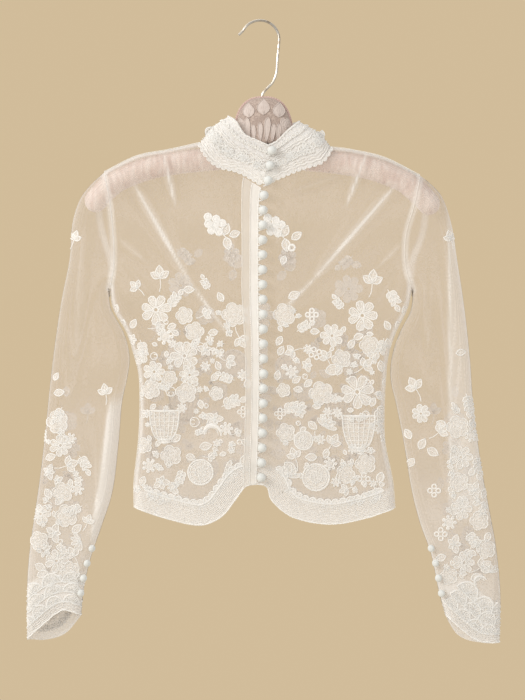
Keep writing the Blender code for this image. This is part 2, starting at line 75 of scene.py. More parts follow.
def buildStudio():
    scene = bpy.context.scene
    camera = bpy.data.cameras.new("camera")
    camera.sensor_width = 36
    camera.lens = camera.sensor_width * studio["cameraAway"] / studio["seenHeight"]
    scene.camera = bpy.data.objects.new("camera", camera)
    scene.camera.location = (studio["cameraX"], -studio["cameraAway"], studio["cameraZ"])
    scene.camera.rotation_euler = (math.pi / 2, 0, 0)
    scene.collection.objects.link(scene.camera)
    scene.view_settings.view_transform = "Standard"
    scene.cycles.transparent_max_bounces = 40  # the net lies in many layers
    scene.world = bpy.data.worlds.new("studio")
    scene.world.use_nodes = True
    nodes, links = scene.world.node_tree.nodes, scene.world.node_tree.links
    path, mix = nodes.new("ShaderNodeLightPath"), nodes.new("ShaderNodeMix")
    mix.data_type = "RGBA"
    mix.inputs[6].default_value = (*studio["ambient"], 1)
    mix.inputs[7].default_value = (*studio["background"], 1)
    links.new(path.outputs["Is Camera Ray"], mix.inputs[0])
    links.new(mix.outputs[2], nodes["Background"].inputs["Color"])
    aim = Vector((0, 0, studio["cameraZ"]))
    for name, place, size, watts, colour in studio["lights"]:
        light = bpy.data.lights.new(name, "AREA")
        light.size = size
        light.energy = watts
        light.color = colour
        lamp = bpy.data.objects.new(name, light)
        lamp.location = place
        lamp.rotation_euler = (aim - Vector(place)).to_track_quat("-Z", "Y").to_euler()
        scene.collection.objects.link(lamp)


class Wire:  # a socket that arithmetic is written on
    def __init__(self, finish, socket):
        self.finish = finish
        self.socket = socket

    def maths(self, operation, *others):
        return self.finish.add("ShaderNodeMath", {"operation": operation}, (self, *others))

    def __add__(self, other):
        return self.maths("ADD", other)

    def __mul__(self, other):
        return self.maths("MULTIPLY", other)

    def __rsub__(self, other):
        return self.finish.add("ShaderNodeMath", {"operation": "SUBTRACT"}, (other, self))

    __radd__ = __add__
    __rmul__ = __mul__


class Finish:  # one material and its nodes
    def __init__(self, name, roughness, sheen=0.0, metallic=0.0):
        self.material = bpy.data.materials.new(name)
        self.material.use_nodes = True
        self.tree = self.material.node_tree
        self.shader = self.tree.nodes["Principled BSDF"]
        self.shader.inputs["Roughness"].default_value = roughness
        self.shader.inputs["Metallic"].default_value = metallic
        self.shader.inputs["Sheen Weight"].default_value = sheen
        self.shader.inputs["Specular IOR Level"].default_value = 0.3

    def feed(self, socket, value):
        if isinstance(value, Wire):
            self.tree.links.new(value.socket, socket)
        elif socket.type == "RGBA":
            socket.default_value = (*value, 1)
        else:
            socket.default_value = value

    def add(self, kind, settings, values, output=0):
        node = self.tree.nodes.new(kind)
        for key, value in settings.items():
            setattr(node, key, value)
        for key, value in values.items() if isinstance(values, dict) else enumerate(values):
            self.feed(node.inputs[key], value)
        return Wire(self, node.outputs[output])

    def attribute(self, name):
        return self.add("ShaderNodeAttribute", {"attribute_name": name}, {}, "Fac")

    def place(self, stretch=(1, 1, 1)):
        place = self.add("ShaderNodeTexCoord", {}, {}, "Object")
        return self.add("ShaderNodeMapping", {}, {"Vector": place, "Scale": stretch})

    def noise(self, size, detail, stretch=(1, 1, 1)):  # size in metres
        values = {"Vector": self.place(stretch), "Scale": 1 / size, "Detail": detail}
        return self.add("ShaderNodeTexNoise", {}, values)

    def cells(self, size, random):  # the distance to the nearest edge between cells
        values = {"Vector": self.place(), "Scale": 1 / size, "Randomness": random}
        return self.add("ShaderNodeTexVoronoi", {"feature": "DISTANCE_TO_EDGE"}, values, "Distance")

    def step(self, value, low, high, start=0.0, end=1.0):
        values = (value, low, high, start, end)
        return self.add("ShaderNodeMapRange", {"interpolation_type": "SMOOTHSTEP"}, values)

    def blend(self, share, first, second):
        return self.add("ShaderNodeMix", {"data_type": "RGBA"}, {0: share, 6: first, 7: second}, 2)

    def bump(self, height, depth, strength):
        values = {"Strength": strength, "Distance": depth, "Height": height}
        self.feed(self.shader.inputs["Normal"], self.add("ShaderNodeBump", {}, values))

    def surface(self, **sockets):
        for name, value in sockets.items():
            self.feed(self.shader.inputs[name.replace("_", " ")], value)
        return self.material

    def cloth(self, alpha, through, colour, **sockets):  # thin cloth also shows light from behind it
        self.surface(**sockets)
        front = Wire(self, self.shader.outputs[0])
        lit = self.add("ShaderNodeBsdfTranslucent", {}, {"Color": colour})
        clear = self.add("ShaderNodeBsdfTransparent", {}, {})
        both = self.add("ShaderNodeMixShader", {}, (through, front, lit))
        seen = self.add("ShaderNodeMixShader", {}, (alpha, clear, both))
        self.feed(self.tree.nodes["Material Output"].inputs["Surface"], seen)
        return self.material


netFinish = {
    # painted shade: light and dark are dimmed below white tulle, so that the net carries the shadow that lies
    # behind the blouse; the tone varies at random between them
    "light": (0.75, 0.655, 0.575),
    "dark": (0.64, 0.555, 0.475),
    "white": (0.96, 0.93, 0.88),  # where it is doubled, and as partly painted light where it turns edge-on
    "through": 0.35,  # how much of its look is light from behind
    "cell": 0.0014,
    "thin": 0.13,  # how much one layer covers between its threads
    "thread": 0.40,
    "full": 0.96,  # the most it covers
    "doubled": 0.6,  # what a full veil adds
}


def makeNet():
    net = Finish("ivoryNet", 0.75, sheen=0.15)
    edge = net.cells(netFinish["cell"], random=0.35)
    thread = net.step(edge, 0.06, 0.22, 1.0, 0.0)
    veil = net.attribute("veil")
    cloud = net.noise(0.045, 3)
    cover = netFinish["thin"] + thread * (netFinish["thread"] - netFinish["thin"])
    cover = cover * (0.85 + cloud * 0.3) + veil * netFinish["doubled"]
    # the dimmed tones of painted shade, mixed by random clouds
    tint = net.blend(cloud, netFinish["dark"], netFinish["light"])
    net.bump(thread, 0.0003, 0.6)
    # the veil whitens the colour: doubled cloth, and painted light along the turned edges
    return net.cloth(
        cover.maths("MINIMUM", netFinish["full"]), netFinish["through"], netFinish["light"],
        Base_Color=net.blend((veil * 1.4).maths("MINIMUM", 1), tint, netFinish["white"]),
        Roughness=0.82 - thread * 0.1,
    )


laceFinish = {
    "light": (0.985, 0.965, 0.93),
    "dark": (0.91, 0.875, 0.82),
    "through": 0.3,
    "stitch": 0.0011,
}


def makeLace(name, ground, dense):
    lace = Finish(name, 0.68, sheen=0.2)
    solid = lace.attribute("solid")
    holes = lace.step(lace.cells(laceFinish["stitch"] * 1.6, random=0.8), 0.05, 0.3, 1.0, 0.0)
    twist = lace.add(
        "ShaderNodeTexWave", {"bands_direction": "DIAGONAL"},
        {"Vector": lace.place(), "Scale": 0.3 / laceFinish["stitch"], "Distortion": 2.0, "Detail": 1.0},
        "Fac",
    )
    fine = lace.noise(laceFinish["stitch"] * 2.4, 2)
    cover = ground + (dense - ground) * holes
    lace.bump(twist * 0.5 + fine * 0.3 + holes * 0.5, 0.0004, 0.75)
    return lace.cloth(
        cover * (1 - solid) + solid, laceFinish["through"], laceFinish["light"],
        Base_Color=lace.blend(lace.step(fine, 0.3, 0.6), laceFinish["dark"], laceFinish["light"]),
        Roughness=0.74 - twist * 0.12,
    )


bandFinish = {
    "light": (0.975, 0.95, 0.91),
    "dark": (0.91, 0.86, 0.79),
    "behind": (0.96, 0.93, 0.88),
    "through": 0.3,
}


def makeBand():
    band = Finish("stitchedBand", 0.6, sheen=0.2)
    edge = band.attribute("solid")
    weave = band.cells(0.0009, random=0.3)
    cloud = band.noise(0.012, 3, (1, 1, 0.3))
    cover = (0.3 + edge * 0.66 + cloud * 0.12).maths("MINIMUM", 0.98)
    band.bump(band.step(weave, 0.02, 0.3) + edge * 0.8, 0.00025, 0.5)
    return band.cloth(
        cover, bandFinish["through"], bandFinish["behind"],
        Base_Color=band.blend(cloud, bandFinish["dark"], bandFinish["light"]),
        Roughness=0.62 - edge * 0.1,
    )


buttonFinish = {"light": (0.79, 0.79, 0.755), "dark": (0.68, 0.68, 0.645), "weave": 0.0008}


def makeButtonCover():
    cover = Finish("buttonCover", 0.55, sheen=0.25)
    weave = cover.cells(buttonFinish["weave"], random=0.6)
    ridge = cover.step(weave, 0.02, 0.35)
    shade = cover.noise(0.006, 2)
    cover.bump(ridge, 0.0002, 0.5)
    return cover.surface(
        Base_Color=cover.blend(shade, buttonFinish["dark"], buttonFinish["light"]),
        Roughness=0.65 - ridge * 0.12,
    )


satinFinish = {
    "padLight": (0.87, 0.77, 0.71),
    "padDark": (0.70, 0.55, 0.49),
    "domeThread": (0.34, 0.25, 0.21),
    "domeGround": (0.52, 0.41, 0.345),
    "petal": (0.70, 0.61, 0.55),
    "petalDark": (0.54, 0.44, 0.39),
    "binding": (0.66, 0.47, 0.41),
    "bindingDark": (0.50, 0.33, 0.29),
}


def makePadSatin():
    satin = Finish("padSatin", 0.48, sheen=0.3)
    gather = satin.noise(0.0055, 3, (1.0, 0.35, 0.25))
    cloud = satin.noise(0.03, 2)
    weave = satin.noise(0.0012, 1, (0.25, 1, 1))
    sheen = satin.step(gather * 0.6 + cloud * 0.4, 0.32, 0.62)
    satin.bump(gather * 0.8 + weave * 0.2, 0.0016, 0.6)
    return satin.surface(
        Base_Color=satin.blend(sheen, satinFinish["padDark"], satinFinish["padLight"]),
        Roughness=0.55 - gather * 0.15,
    )


def makeCoverSatin():
    satin = Finish("coverSatin", 0.55, sheen=0.25)
    cloud = satin.noise(0.010, 3)
    mesh = satin.step(satin.cells(0.0016, random=0.5), 0.05, 0.25)
    worn = satin.step(mesh * 0.6 + cloud * 0.6, 0.3, 0.9)
    satin.bump(mesh, 0.0003, 0.7)
    return satin.surface(
        Base_Color=satin.blend(worn, satinFinish["domeGround"], satinFinish["domeThread"]),
        Roughness=0.7 - mesh * 0.1,
    )


def makePlain(name, light, dark, size, roughness, depth):
    plain = Finish(name, roughness, sheen=0.2)
    grain = plain.noise(size, 3)
    plain.bump(grain, depth, 0.6)
    return plain.surface(Base_Color=plain.blend(grain, dark, light), Roughness=roughness - grain * 0.1)


steelFinish = {"bright": (0.50, 0.46, 0.40), "tarnished": (0.33, 0.27, 0.21)}


def makeSteel():
    steel = Finish("drawnSteel", 0.3, metallic=1.0)
    drawn = steel.noise(0.0006, 2, (1, 1, 0.12))
    tarnish = steel.step(steel.noise(0.007, 3), 0.4, 0.7)
    steel.bump(drawn, 0.00004, 0.4)
    return steel.surface(
        Base_Color=steel.blend(tarnish, steelFinish["bright"], steelFinish["tarnished"]),
        Roughness=0.22 + drawn * 0.14 + tarnish * 0.16,
    )


# the cut: each edge of the flat outline, as rows of (x, z)
rightCut = {
    "shoulder": [(-72, -145), (-108, -153), (-148, -161), (-187, -180)],
    "neck": [(4, -196), (-24, -180), (-48, -174), (-62, -163), (-72, -145)],
    "sleeveHead": [(-204, -196), (-217, -214), (-226, -244)],
    "armholeFront": [(-187, -180), (-180, -214), (-175, -262), (-175, -296), (-180, -320)],
    "armholeBack": [(-187, -180), (-195, -208), (-192, -246), (-181, -284), (-180, -320)],
    "collarFold": [(-72, -145), (-57, -126), (-38, -113)],
    "collarTop": [(10, -149), (-4, -143), (-18, -136), (-28, -121), (-38, -113)],
    "hem": [(-4, -555), (-17, -558), (-30, -575), (-46, -594), (-72, -604), (-112, -596), (-151, -583)],
    "cuffFront": [(-280, -742), (-258, -722), (-236, -706), (-214, -712)],
    "cuffBack": [(-280, -742), (-258, -743), (-234, -735), (-214, -712)],
    "sleeve": [  # outer x, outer z, inner x, inner z, from the armpit to the wrist
        (-229, -285, -178, -345), (-238, -330, -163, -373), (-244, -368, -156, -400),
        (-249, -405, -158, -424), (-254, -450, -165, -458), (-259, -500, -169, -505),
        (-265, -550, -176, -562), (-271, -592, -189, -604), (-277, -635, -203, -645),
        (-280, -680, -211, -682),
    ],
    "side": [
        (-151, -583), (-151, -550), (-146, -505), (-144, -465), (-145, -425),
        (-151, -400), (-160, -372), (-175, -346), (-180, -321),
    ],
    "underarm": (-181.2, -323),
}
leftCut = {
    "shoulder": [(85, -150), (113, -154), (150, -163), (192, -184)],
    "neck": [(4, -196), (24, -186), (52, -175), (74, -168), (85, -150)],
    "sleeveHead": [(206, -195), (220, -212), (231, -246)],
    "armholeFront": [(192, -184), (184, -222), (174, -258), (174, -294), (182, -322)],
    "armholeBack": [(192, -184), (200, -212), (197, -250), (184, -288), (182, -322)],
    "collarFold": [(85, -150), (72, -134), (47, -119)],
    "collarTop": [(10, -149), (20, -144), (32, -132), (47, -119)],
    "hem": [(-4, -555), (8, -558), (14, -575), (40, -595), (84, -603), (126, -596), (162, -584)],
    "cuffFront": [(288, -745), (262, -743), (242, -730), (222, -712)],
    "cuffBack": [(288, -745), (262, -746), (238, -737), (222, -712)],
    "sleeve": [
        (237, -285, 180, -347), (244, -330, 167, -373), (249, -370, 158, -400),
        (253, -410, 156, -428), (256, -455, 163, -460), (262, -505, 172, -505),
        (269, -550, 181, -560), (277, -592, 191, -600), (284, -632, 205, -640),
        (289, -685, 214, -684),
    ],
    "side": [
        (162, -583), (159, -550), (150, -505), (149, -465), (151, -425),
        (154, -400), (163, -372), (176, -346), (182, -321),
    ],
    "underarm": (183.2, -323),
}
middleCut = {
    "centreFront": [(4, -196), (-1, -216), (-2, -300), (-1, -430), (-4, -555)],
    "collarFront": [(4, -196), (7, -172), (10, -149)],
    "backNeck": [(-72, -145), (-34, -154), (6, -157), (48, -156), (85, -150)],
    "backCollarTop": [(-38, -113), (-8, -119), (24, -121), (47, -119)],
}
cloth = {
    "depthAtShoulder": 17.8,  # half the blouse's depth
    "depthAtHem": 10.0,
    "shoulderZ": -215.0,
    "lowestZ": -740.0,
    "seam": 0.15,
    "netLift": -0.6,  # the net runs in the middle of the frame's wall
    "laceLift": -0.45,
    "underarmShare": 0.64,
    "neckShare": 0.4,
    "backNeckShares": (0.32, 0.68),
    "backHemShare": 0.48,
    "underarmCrowding": 1.5,
    "foldCrowding": 0.86,
    "armholeFade": 0.09,  # the share of the sleeve in which the armhole's curve dies out
    "frontGrid": (100, 200),  # points across and up each panel
    "sleeveGrid": (46, 190),
    "backGrid": (150, 170),
    "seamRadius": 0.7,
}
creases = [  # x, z, end x, end z, half width, height, how much it thickens the veil
    (-150, -197, -84, -313, 11, 2.2, 0.8),
    (-84, -313, -40, -372, 10, 1.6, 0.6),
    (162, -197, 61, -313, 11, 2.2, 0.8),
    (61, -313, 24, -350, 10, 1.6, 0.6),
    (-115, -160, -101, -222, 8, 1.8, 0.8),
    (127, -160, 103, -222, 8, 1.8, 0.75),
    (225, -230, 226, -590, 9, 1.8, 0.3),
    (-179, -450, -196, -640, 9, 1.8, 0.3),
    (-212, -250, -222, -400, 10, 1.4, 0.15),
    (-120, -440, -118, -560, 12, 1.2, 0.0),
    (118, -430, 124, -556, 12, 1.2, 0.0),
    (-168, -262, -132, -292, 6, 1.0, 0.2),
    (-166, -286, -128, -330, 6, -0.9, 0.1),
    (168, -268, 136, -300, 6, 1.0, 0.2),
    (166, -292, 140, -340, 6, -0.8, 0.1),
    (-205, -300, -232, -470, 8, 0.9, 0.1),
    (-196, -330, -214, -440, 6, -0.8, 0.0),
    (196, -300, 204, -440, 7, 1.0, 0.12),
    (40, -205, 96, -186, 6, 0.9, 0.15),
    (-34, -205, -30, -330, 5, 0.7, 0.12),
    (24, -214, 20, -300, 5, 0.6, 0.1),
]
strips = {  # a sleeve's cloth is double to the left of this line, and how much that thickens the veil
    "right": ([(-173, -440), (-178, -457), (-185, -502), (-191, -553), (-197, -588), (-202, -630)], 0.95),
    "left": ([(224, -232), (226, -330), (227, -470), (229, -600)], 0.5),
}


def smoothLine(points, count=44):
    knots = np.array(points, float)
    padded = np.vstack([2 * knots[0] - knots[1], knots, 2 * knots[-1] - knots[-2]])
    share = np.linspace(0, 1, 16, endpoint=False)[:, None]
    places = []
    for before, start, end, after in zip(padded, padded[1:], padded[2:], padded[3:]):
        places.append(0.5 * (
            2 * start
            + (end - before) * share
            + (2 * before - 5 * start + 4 * end - after) * share**2
            + (3 * start - before - 3 * end + after) * share**3
        ))
    places = np.vstack(places + [knots[-1:]])
    return evenly(places, count)


def evenly(places, count):  # the same line, as count + 1 places an equal length apart
    run = np.concatenate([[0], np.cumsum(np.linalg.norm(np.diff(places, axis=0), axis=1))])
    wanted = np.linspace(0, run[-1], count + 1)
    return np.column_stack([np.interp(wanted, run, places[:, k]) for k in (0, 1)])


def lineLength(line):
    return float(np.linalg.norm(np.diff(line, axis=0), axis=1).sum())


def along(line):
    def place(shares):
        at = np.clip(shares, 0, 1) * (len(line) - 1)
        return np.column_stack([np.interp(at, np.arange(len(line)), line[:, k]) for k in (0, 1)])
    return place


def joined(first, share, second):  # one edge of two lines
    def place(shares):
        low, high = along(first)(shares / share), along(second)((shares - share) / (1 - share))
        return np.where((shares <= share)[:, None], low, high)
    return place


def sideLines(cut):
    sleeve, cuff = cut["sleeve"], cut["cuffFront"]
    made = {key: smoothLine(rows) for key, rows in cut.items() if key not in ("sleeve", "underarm")}
    outer = [cut["shoulder"][-1]] + cut["sleeveHead"] + [row[:2] for row in sleeve] + [cuff[0]]
    made["sleeveOuter"] = smoothLine(outer, 80)
    made["sleeveInner"] = smoothLine([cut["underarm"]] + [row[2:] for row in sleeve] + [cuff[-1]], 80)
    return made


lines = {"right": sideLines(rightCut), "left": sideLines(leftCut)}
midLines = {key: smoothLine(rows) for key, rows in middleCut.items()}
closedLines = [  # where the front meets the back
    edges[key] for edges in lines.values()
    for key in ("shoulder", "collarFold", "side", "sleeveOuter", "sleeveInner")
]
closedStarts = np.vstack([line[:-1] for line in closedLines])
closedSteps = np.vstack([np.diff(line, axis=0) for line in closedLines])


def fromLine(places, starts, steps):  # the distance to the nearest of the runs, and the way from it
    distances, ways = np.empty(len(places)), np.empty((len(places), 2))
    squares = (steps**2).sum(1)
    for first in range(0, len(places), 3000):
        away = places[first:first + 3000, None] - starts
        share = np.clip((away * steps).sum(2) / squares, 0, 1)
        away -= steps * share[..., None]
        length = np.sqrt((away**2).sum(2))
        nearest = length.argmin(1)
        rows = np.arange(len(nearest))
        distances[first:first + 3000] = length[rows, nearest]
        ways[first:first + 3000] = away[rows, nearest]
    return distances, ways / np.maximum(distances, 1e-9)[:, None]


def nearLine(places, line):
    return fromLine(places, line[:-1], np.diff(line, axis=0))[0]


def depthAt(z):
    share = np.clip((cloth["shoulderZ"] - z) / (cloth["shoulderZ"] - cloth["lowestZ"]), 0, 1)
    return cloth["depthAtShoulder"] + (cloth["depthAtHem"] - cloth["depthAtShoulder"]) * share


def creaseAt(places):  # how far the creases lift the cloth, and how much they thicken its veil
    lifted, thickened = np.zeros(len(places)), np.zeros(len(places))
    for x, z, endX, endZ, halfWidth, height, veil in creases:
        start, run = np.array([x, z]), np.array([endX - x, endZ - z])
        share = (places - start) @ run / (run @ run)
        off = np.linalg.norm(places - start - run * np.clip(share, 0, 1)[:, None], axis=1)
        fade = np.sin(math.pi * np.clip(share * 0.9 + 0.05, 0, 1)) ** 0.6
        lifted += height * fade * np.exp(-((off / halfWidth) ** 2))
        line, glow = (np.exp(-((off / (part * halfWidth)) ** 2)) for part in (0.17, 0.6))
        thickened += veil * fade * (line + 0.35 * glow)
    return lifted, thickened


def onForm(places, face, lift=0.0, inward=None):  # the cloth's points, outward normals and turn to the viewer
    distance, way = fromLine(places, closedStarts, closedSteps)
    if inward is not None:
        edge = distance < 0.4
        way[edge] = fromLine(places[edge] + inward[edge], closedStarts, closedSteps)[1]
        distance[edge] = 0.0
    depth = depthAt(places[:, 1])
    cosine = np.clip(1 - distance / depth, 0, 1)
    sine = np.sqrt(1 - cosine**2)
    normals = np.column_stack([-way[:, 0] * cosine, face * sine, -way[:, 1] * cosine])
    points = np.column_stack([places[:, 0], face * depth * sine, places[:, 1]])
    return points + normals * (lift + creaseAt(places)[0] * sine**2)[:, None], normals, sine


def patch(bottom, top, start, end):  # places across and up four edges
    def place(across, up):
        ends = np.array([0.0, 1.0])
        (lowStart, lowEnd), (highStart, highEnd) = bottom(ends), top(ends)
        a, u = across[:, None], up[:, None]
        return (
            (1 - u) * bottom(across) + u * top(across) + (1 - a) * start(up) + a * end(up)
            - (1 - a) * (1 - u) * lowStart - a * (1 - u) * lowEnd
            - (1 - a) * u * highStart - a * u * highEnd
        )
    return place


def crowd(count, startFolded, endFolded):  # shares from 0 to 1, closer together at a folded end
    shares = np.linspace(0, 1, count)
    close = cloth["foldCrowding"]
    if startFolded and endFolded:
        return shares - close * np.sin(2 * math.pi * shares) / (2 * math.pi)
    if endFolded:
        return shares + close * np.sin(math.pi * shares) / math.pi
    if startFolded:
        return shares - close * np.sin(math.pi * shares) / math.pi
    return shares


def gridOf(place, across, up):
    acrossGrid, upGrid = np.meshgrid(across, up)
    return place(acrossGrid.ravel(), upGrid.ravel()).reshape(len(up), len(across), 2)


def inwardOf(grid):  # one millimetre towards the middle of the grid
    rows, columns = grid.shape[:2]
    i = np.clip(np.arange(rows), 1, rows - 2)[:, None]
    j = np.clip(np.arange(columns), 1, columns - 2)[None]
    way = grid[i, j] - grid
    return way / np.maximum(np.linalg.norm(way, axis=2), 1e-6)[..., None]


def layGrid(grid, face, lift, seam=0.0):
    flat = grid.reshape(-1, 2)
    points, normals, sine = onForm(flat, face, lift, inwardOf(grid).reshape(-1, 2))
    points[:, 1] += face * seam
    return [values.reshape(*grid.shape[:2], *values.shape[1:]) for values in (points, normals, sine)]


def show(name, mesh, material):
    mesh.shade_smooth()
    mesh.materials.append(material)
    piece = bpy.data.objects.new(name, mesh)
    bpy.context.scene.collection.objects.link(piece)
    return piece


def makeMesh(name, points, faces, normals, material, **attributes):  # faces turn to agree with the normals
    faces = [np.asarray(group) for group in faces if len(group)]
    first = faces[0]
    start = points[first[:, 0]]
    across, up = points[first[:, 1]] - start, points[first[:, 2]] - start
    if (np.cross(across, up) * normals[first[:, 0]]).sum() < 0:
        faces = [group[:, ::-1] for group in faces]
    mesh = bpy.data.meshes.new(name)
    mesh.from_pydata((points * mm).tolist(), [], [row for group in faces for row in group.tolist()])
    for key, values in attributes.items():
        stored = mesh.attributes.new(key, "FLOAT", "POINT")
        stored.data.foreach_set("value", np.asarray(values, np.float32).ravel())
    return show(name, mesh, material)


def gridFaces(rows, columns, ring=False):
    i, j = np.meshgrid(np.arange(rows - 1), np.arange(columns if ring else columns - 1), indexing="ij")
    low, high, after = i * columns, (i + 1) * columns, (j + 1) % columns
    return np.stack([low + j, low + after, high + after, high + j], 2).reshape(-1, 4)


def gridMesh(name, points, normals, material, ring=False, **attributes):
    faces = [gridFaces(*points.shape[:2], ring=ring)]
    return makeMesh(name, points.reshape(-1, 3), faces, normals.reshape(-1, 3), material, **attributes)


seamVeil = {
    # painted light in part: the veil, and so the whiter colour, rises where the cloth turns edge-on, for
    # cloth seen aslant and to lighten edges the lamps leave dark
    "edge": 0.2,
    "edgeMost": 0.9,
    "seamWidth": 4.4,
    "seam": 0.6,
    "stripEdge": 0.9,
    "stripLine": 0.5,
    "stripLineWidth": 1.6,
    "stripFade": 30,
    "behind": 0.4,  # how strongly the creases show on the back
    "hem": [(27, 0.4, False), (200, 0.42, True)],  # how far up from the edge, how much, whether it fades
    "cuffFront": [(50, 0.85, False), (290, 0.55, True)],
    "cuffBack": [(50, 0.25, False), (290, 0.5, True)],
}


def veilOver(grid, sine, seams, border, borderVeil, creased=1.0, strip=None):
    flat = grid.reshape(-1, 2)
    veil = creaseAt(flat)[1] * creased
    # painted light in part: the turned edges thicken and whiten, lightening edges the lamps leave dark
    veil += np.clip(seamVeil["edge"] * (1 / np.maximum(sine.ravel(), 0.12) - 1), 0, seamVeil["edgeMost"])
    for line in seams:
        veil += seamVeil["seam"] * np.exp(-((nearLine(flat, line) / seamVeil["seamWidth"]) ** 4))
    fromBorder = nearLine(flat, border)
    for width, amount, fades in borderVeil:
        share = np.clip(1 - fromBorder / width, 0, 1)
        veil += amount * (share**2 * (3 - 2 * share) if fades else np.minimum(share * 8, 1))
    if strip:
        veil += stripOver(flat, *strip)
    return np.clip(veil, 0, 1).reshape(grid.shape[:2])


def stripOver(flat, line, amount):
    x, z = np.array(line)[::-1].T
    beside = flat[:, 0] - np.interp(flat[:, 1], z, x)
    within = np.minimum(flat[:, 1] - z[0], z[-1] - flat[:, 1])
    veil = 1 / (1 + np.exp(-np.clip(beside / seamVeil["stripEdge"], -40, 40)))
    veil += seamVeil["stripLine"] * np.exp(-((beside / seamVeil["stripLineWidth"]) ** 2))
    return veil * np.clip(within / seamVeil["stripFade"], 0, 1) * amount


def frontPatch(side):
    edges = lines[side]
    return patch(
        along(edges["hem"]),
        joined(edges["neck"], cloth["neckShare"], edges["shoulder"]),
        along(midLines["centreFront"][::-1]),
        joined(edges["side"], cloth["underarmShare"], edges["armholeFront"][::-1]),
    )


def backPatch():
    right, left = lines["right"], lines["left"]
    first, second = cloth["backNeckShares"]
    neckAndLeft = joined(midLines["backNeck"], (second - first) / (1 - first), left["shoulder"])
    neckLine = neckAndLeft(np.linspace(0, 1, 321))
    ends = [
        joined(edges["side"], cloth["underarmShare"], edges["armholeBack"][::-1]) for edges in (right, left)
    ]
    hem = joined(right["hem"][::-1], cloth["backHemShare"], left["hem"])
    return patch(hem, joined(right["shoulder"][::-1], first, neckLine), *ends)


def sleevePatch(side, name):
    edges = lines[side]
    outer, inner, armhole = edges["sleeveOuter"], edges["sleeveInner"], edges[f"armhole{name}"]
    chord = along(np.array([outer[0], inner[0]]))
    straight = patch(
        chord, along(edges[f"cuff{name}"]), along(outer),
        lambda shares: along(inner)(shares ** cloth["underarmCrowding"]),
    )

    def place(across, up):
        fade = np.clip(1 - up / cloth["armholeFade"], 0, 1)[:, None] ** 2
        return straight(across, up) + (along(armhole)(across) - chord(across)) * fade
    return place


def buildNet(material):
    pieces = {}
    (frontAcross, frontUp), (sleeveAround, sleeveUp), (backAcross, backUp) = (
        cloth[key] for key in ("frontGrid", "sleeveGrid", "backGrid")
    )
    for side, edges in lines.items():
        grid = gridOf(frontPatch(side), crowd(frontAcross, False, True), crowd(frontUp, False, True))
        points, normals, sine = layGrid(grid, -1, cloth["netLift"], cloth["seam"])
        seams = [edges[key] for key in ("armholeFront", "shoulder", "side")]
        veil = veilOver(grid, sine, seams, edges["hem"], seamVeil["hem"])
        pieces[f"front_{side}"] = (points, normals, veil, False)
        halves = []
        for name, face in (("Front", -1), ("Back", 1)):
            shares = np.linspace(0, 1, sleeveUp)
            grid = gridOf(sleevePatch(side, name), crowd(sleeveAround, True, True), shares)
            points, normals, sine = layGrid(grid, face, cloth["netLift"])
            points[:, (0, -1), 1] = 0
            more = (1.0, strips[side]) if face < 0 else (seamVeil["behind"],)
            cuff = f"cuff{name}"
            veil = veilOver(grid, sine, [edges[f"armhole{name}"]], edges[cuff], seamVeil[cuff], *more)
            halves.append((points, normals, veil))
        ring = [np.concatenate([front, back[:, -2:0:-1]], axis=1) for front, back in zip(*halves)]
        pieces[f"sleeve_{side}"] = (*ring, True)
    grid = gridOf(backPatch(), crowd(backAcross, True, True), crowd(backUp, False, True))
    points, normals, sine = layGrid(grid, 1, cloth["netLift"], cloth["seam"])
    seams = [edges[key] for edges in lines.values() for key in ("armholeBack", "shoulder", "side")]
    hem = np.vstack([lines["right"]["hem"][::-1], lines["left"]["hem"][1:]])
    veil = veilOver(grid, sine, seams, hem, seamVeil["hem"], seamVeil["behind"])
    pieces["back"] = (points, normals, veil, False)
    made = {}
    for node, (points, normals, veil, ring) in pieces.items():
        made[node] = gridMesh(f"net_{node}", points, normals, material, ring, veil=veil)
    return made


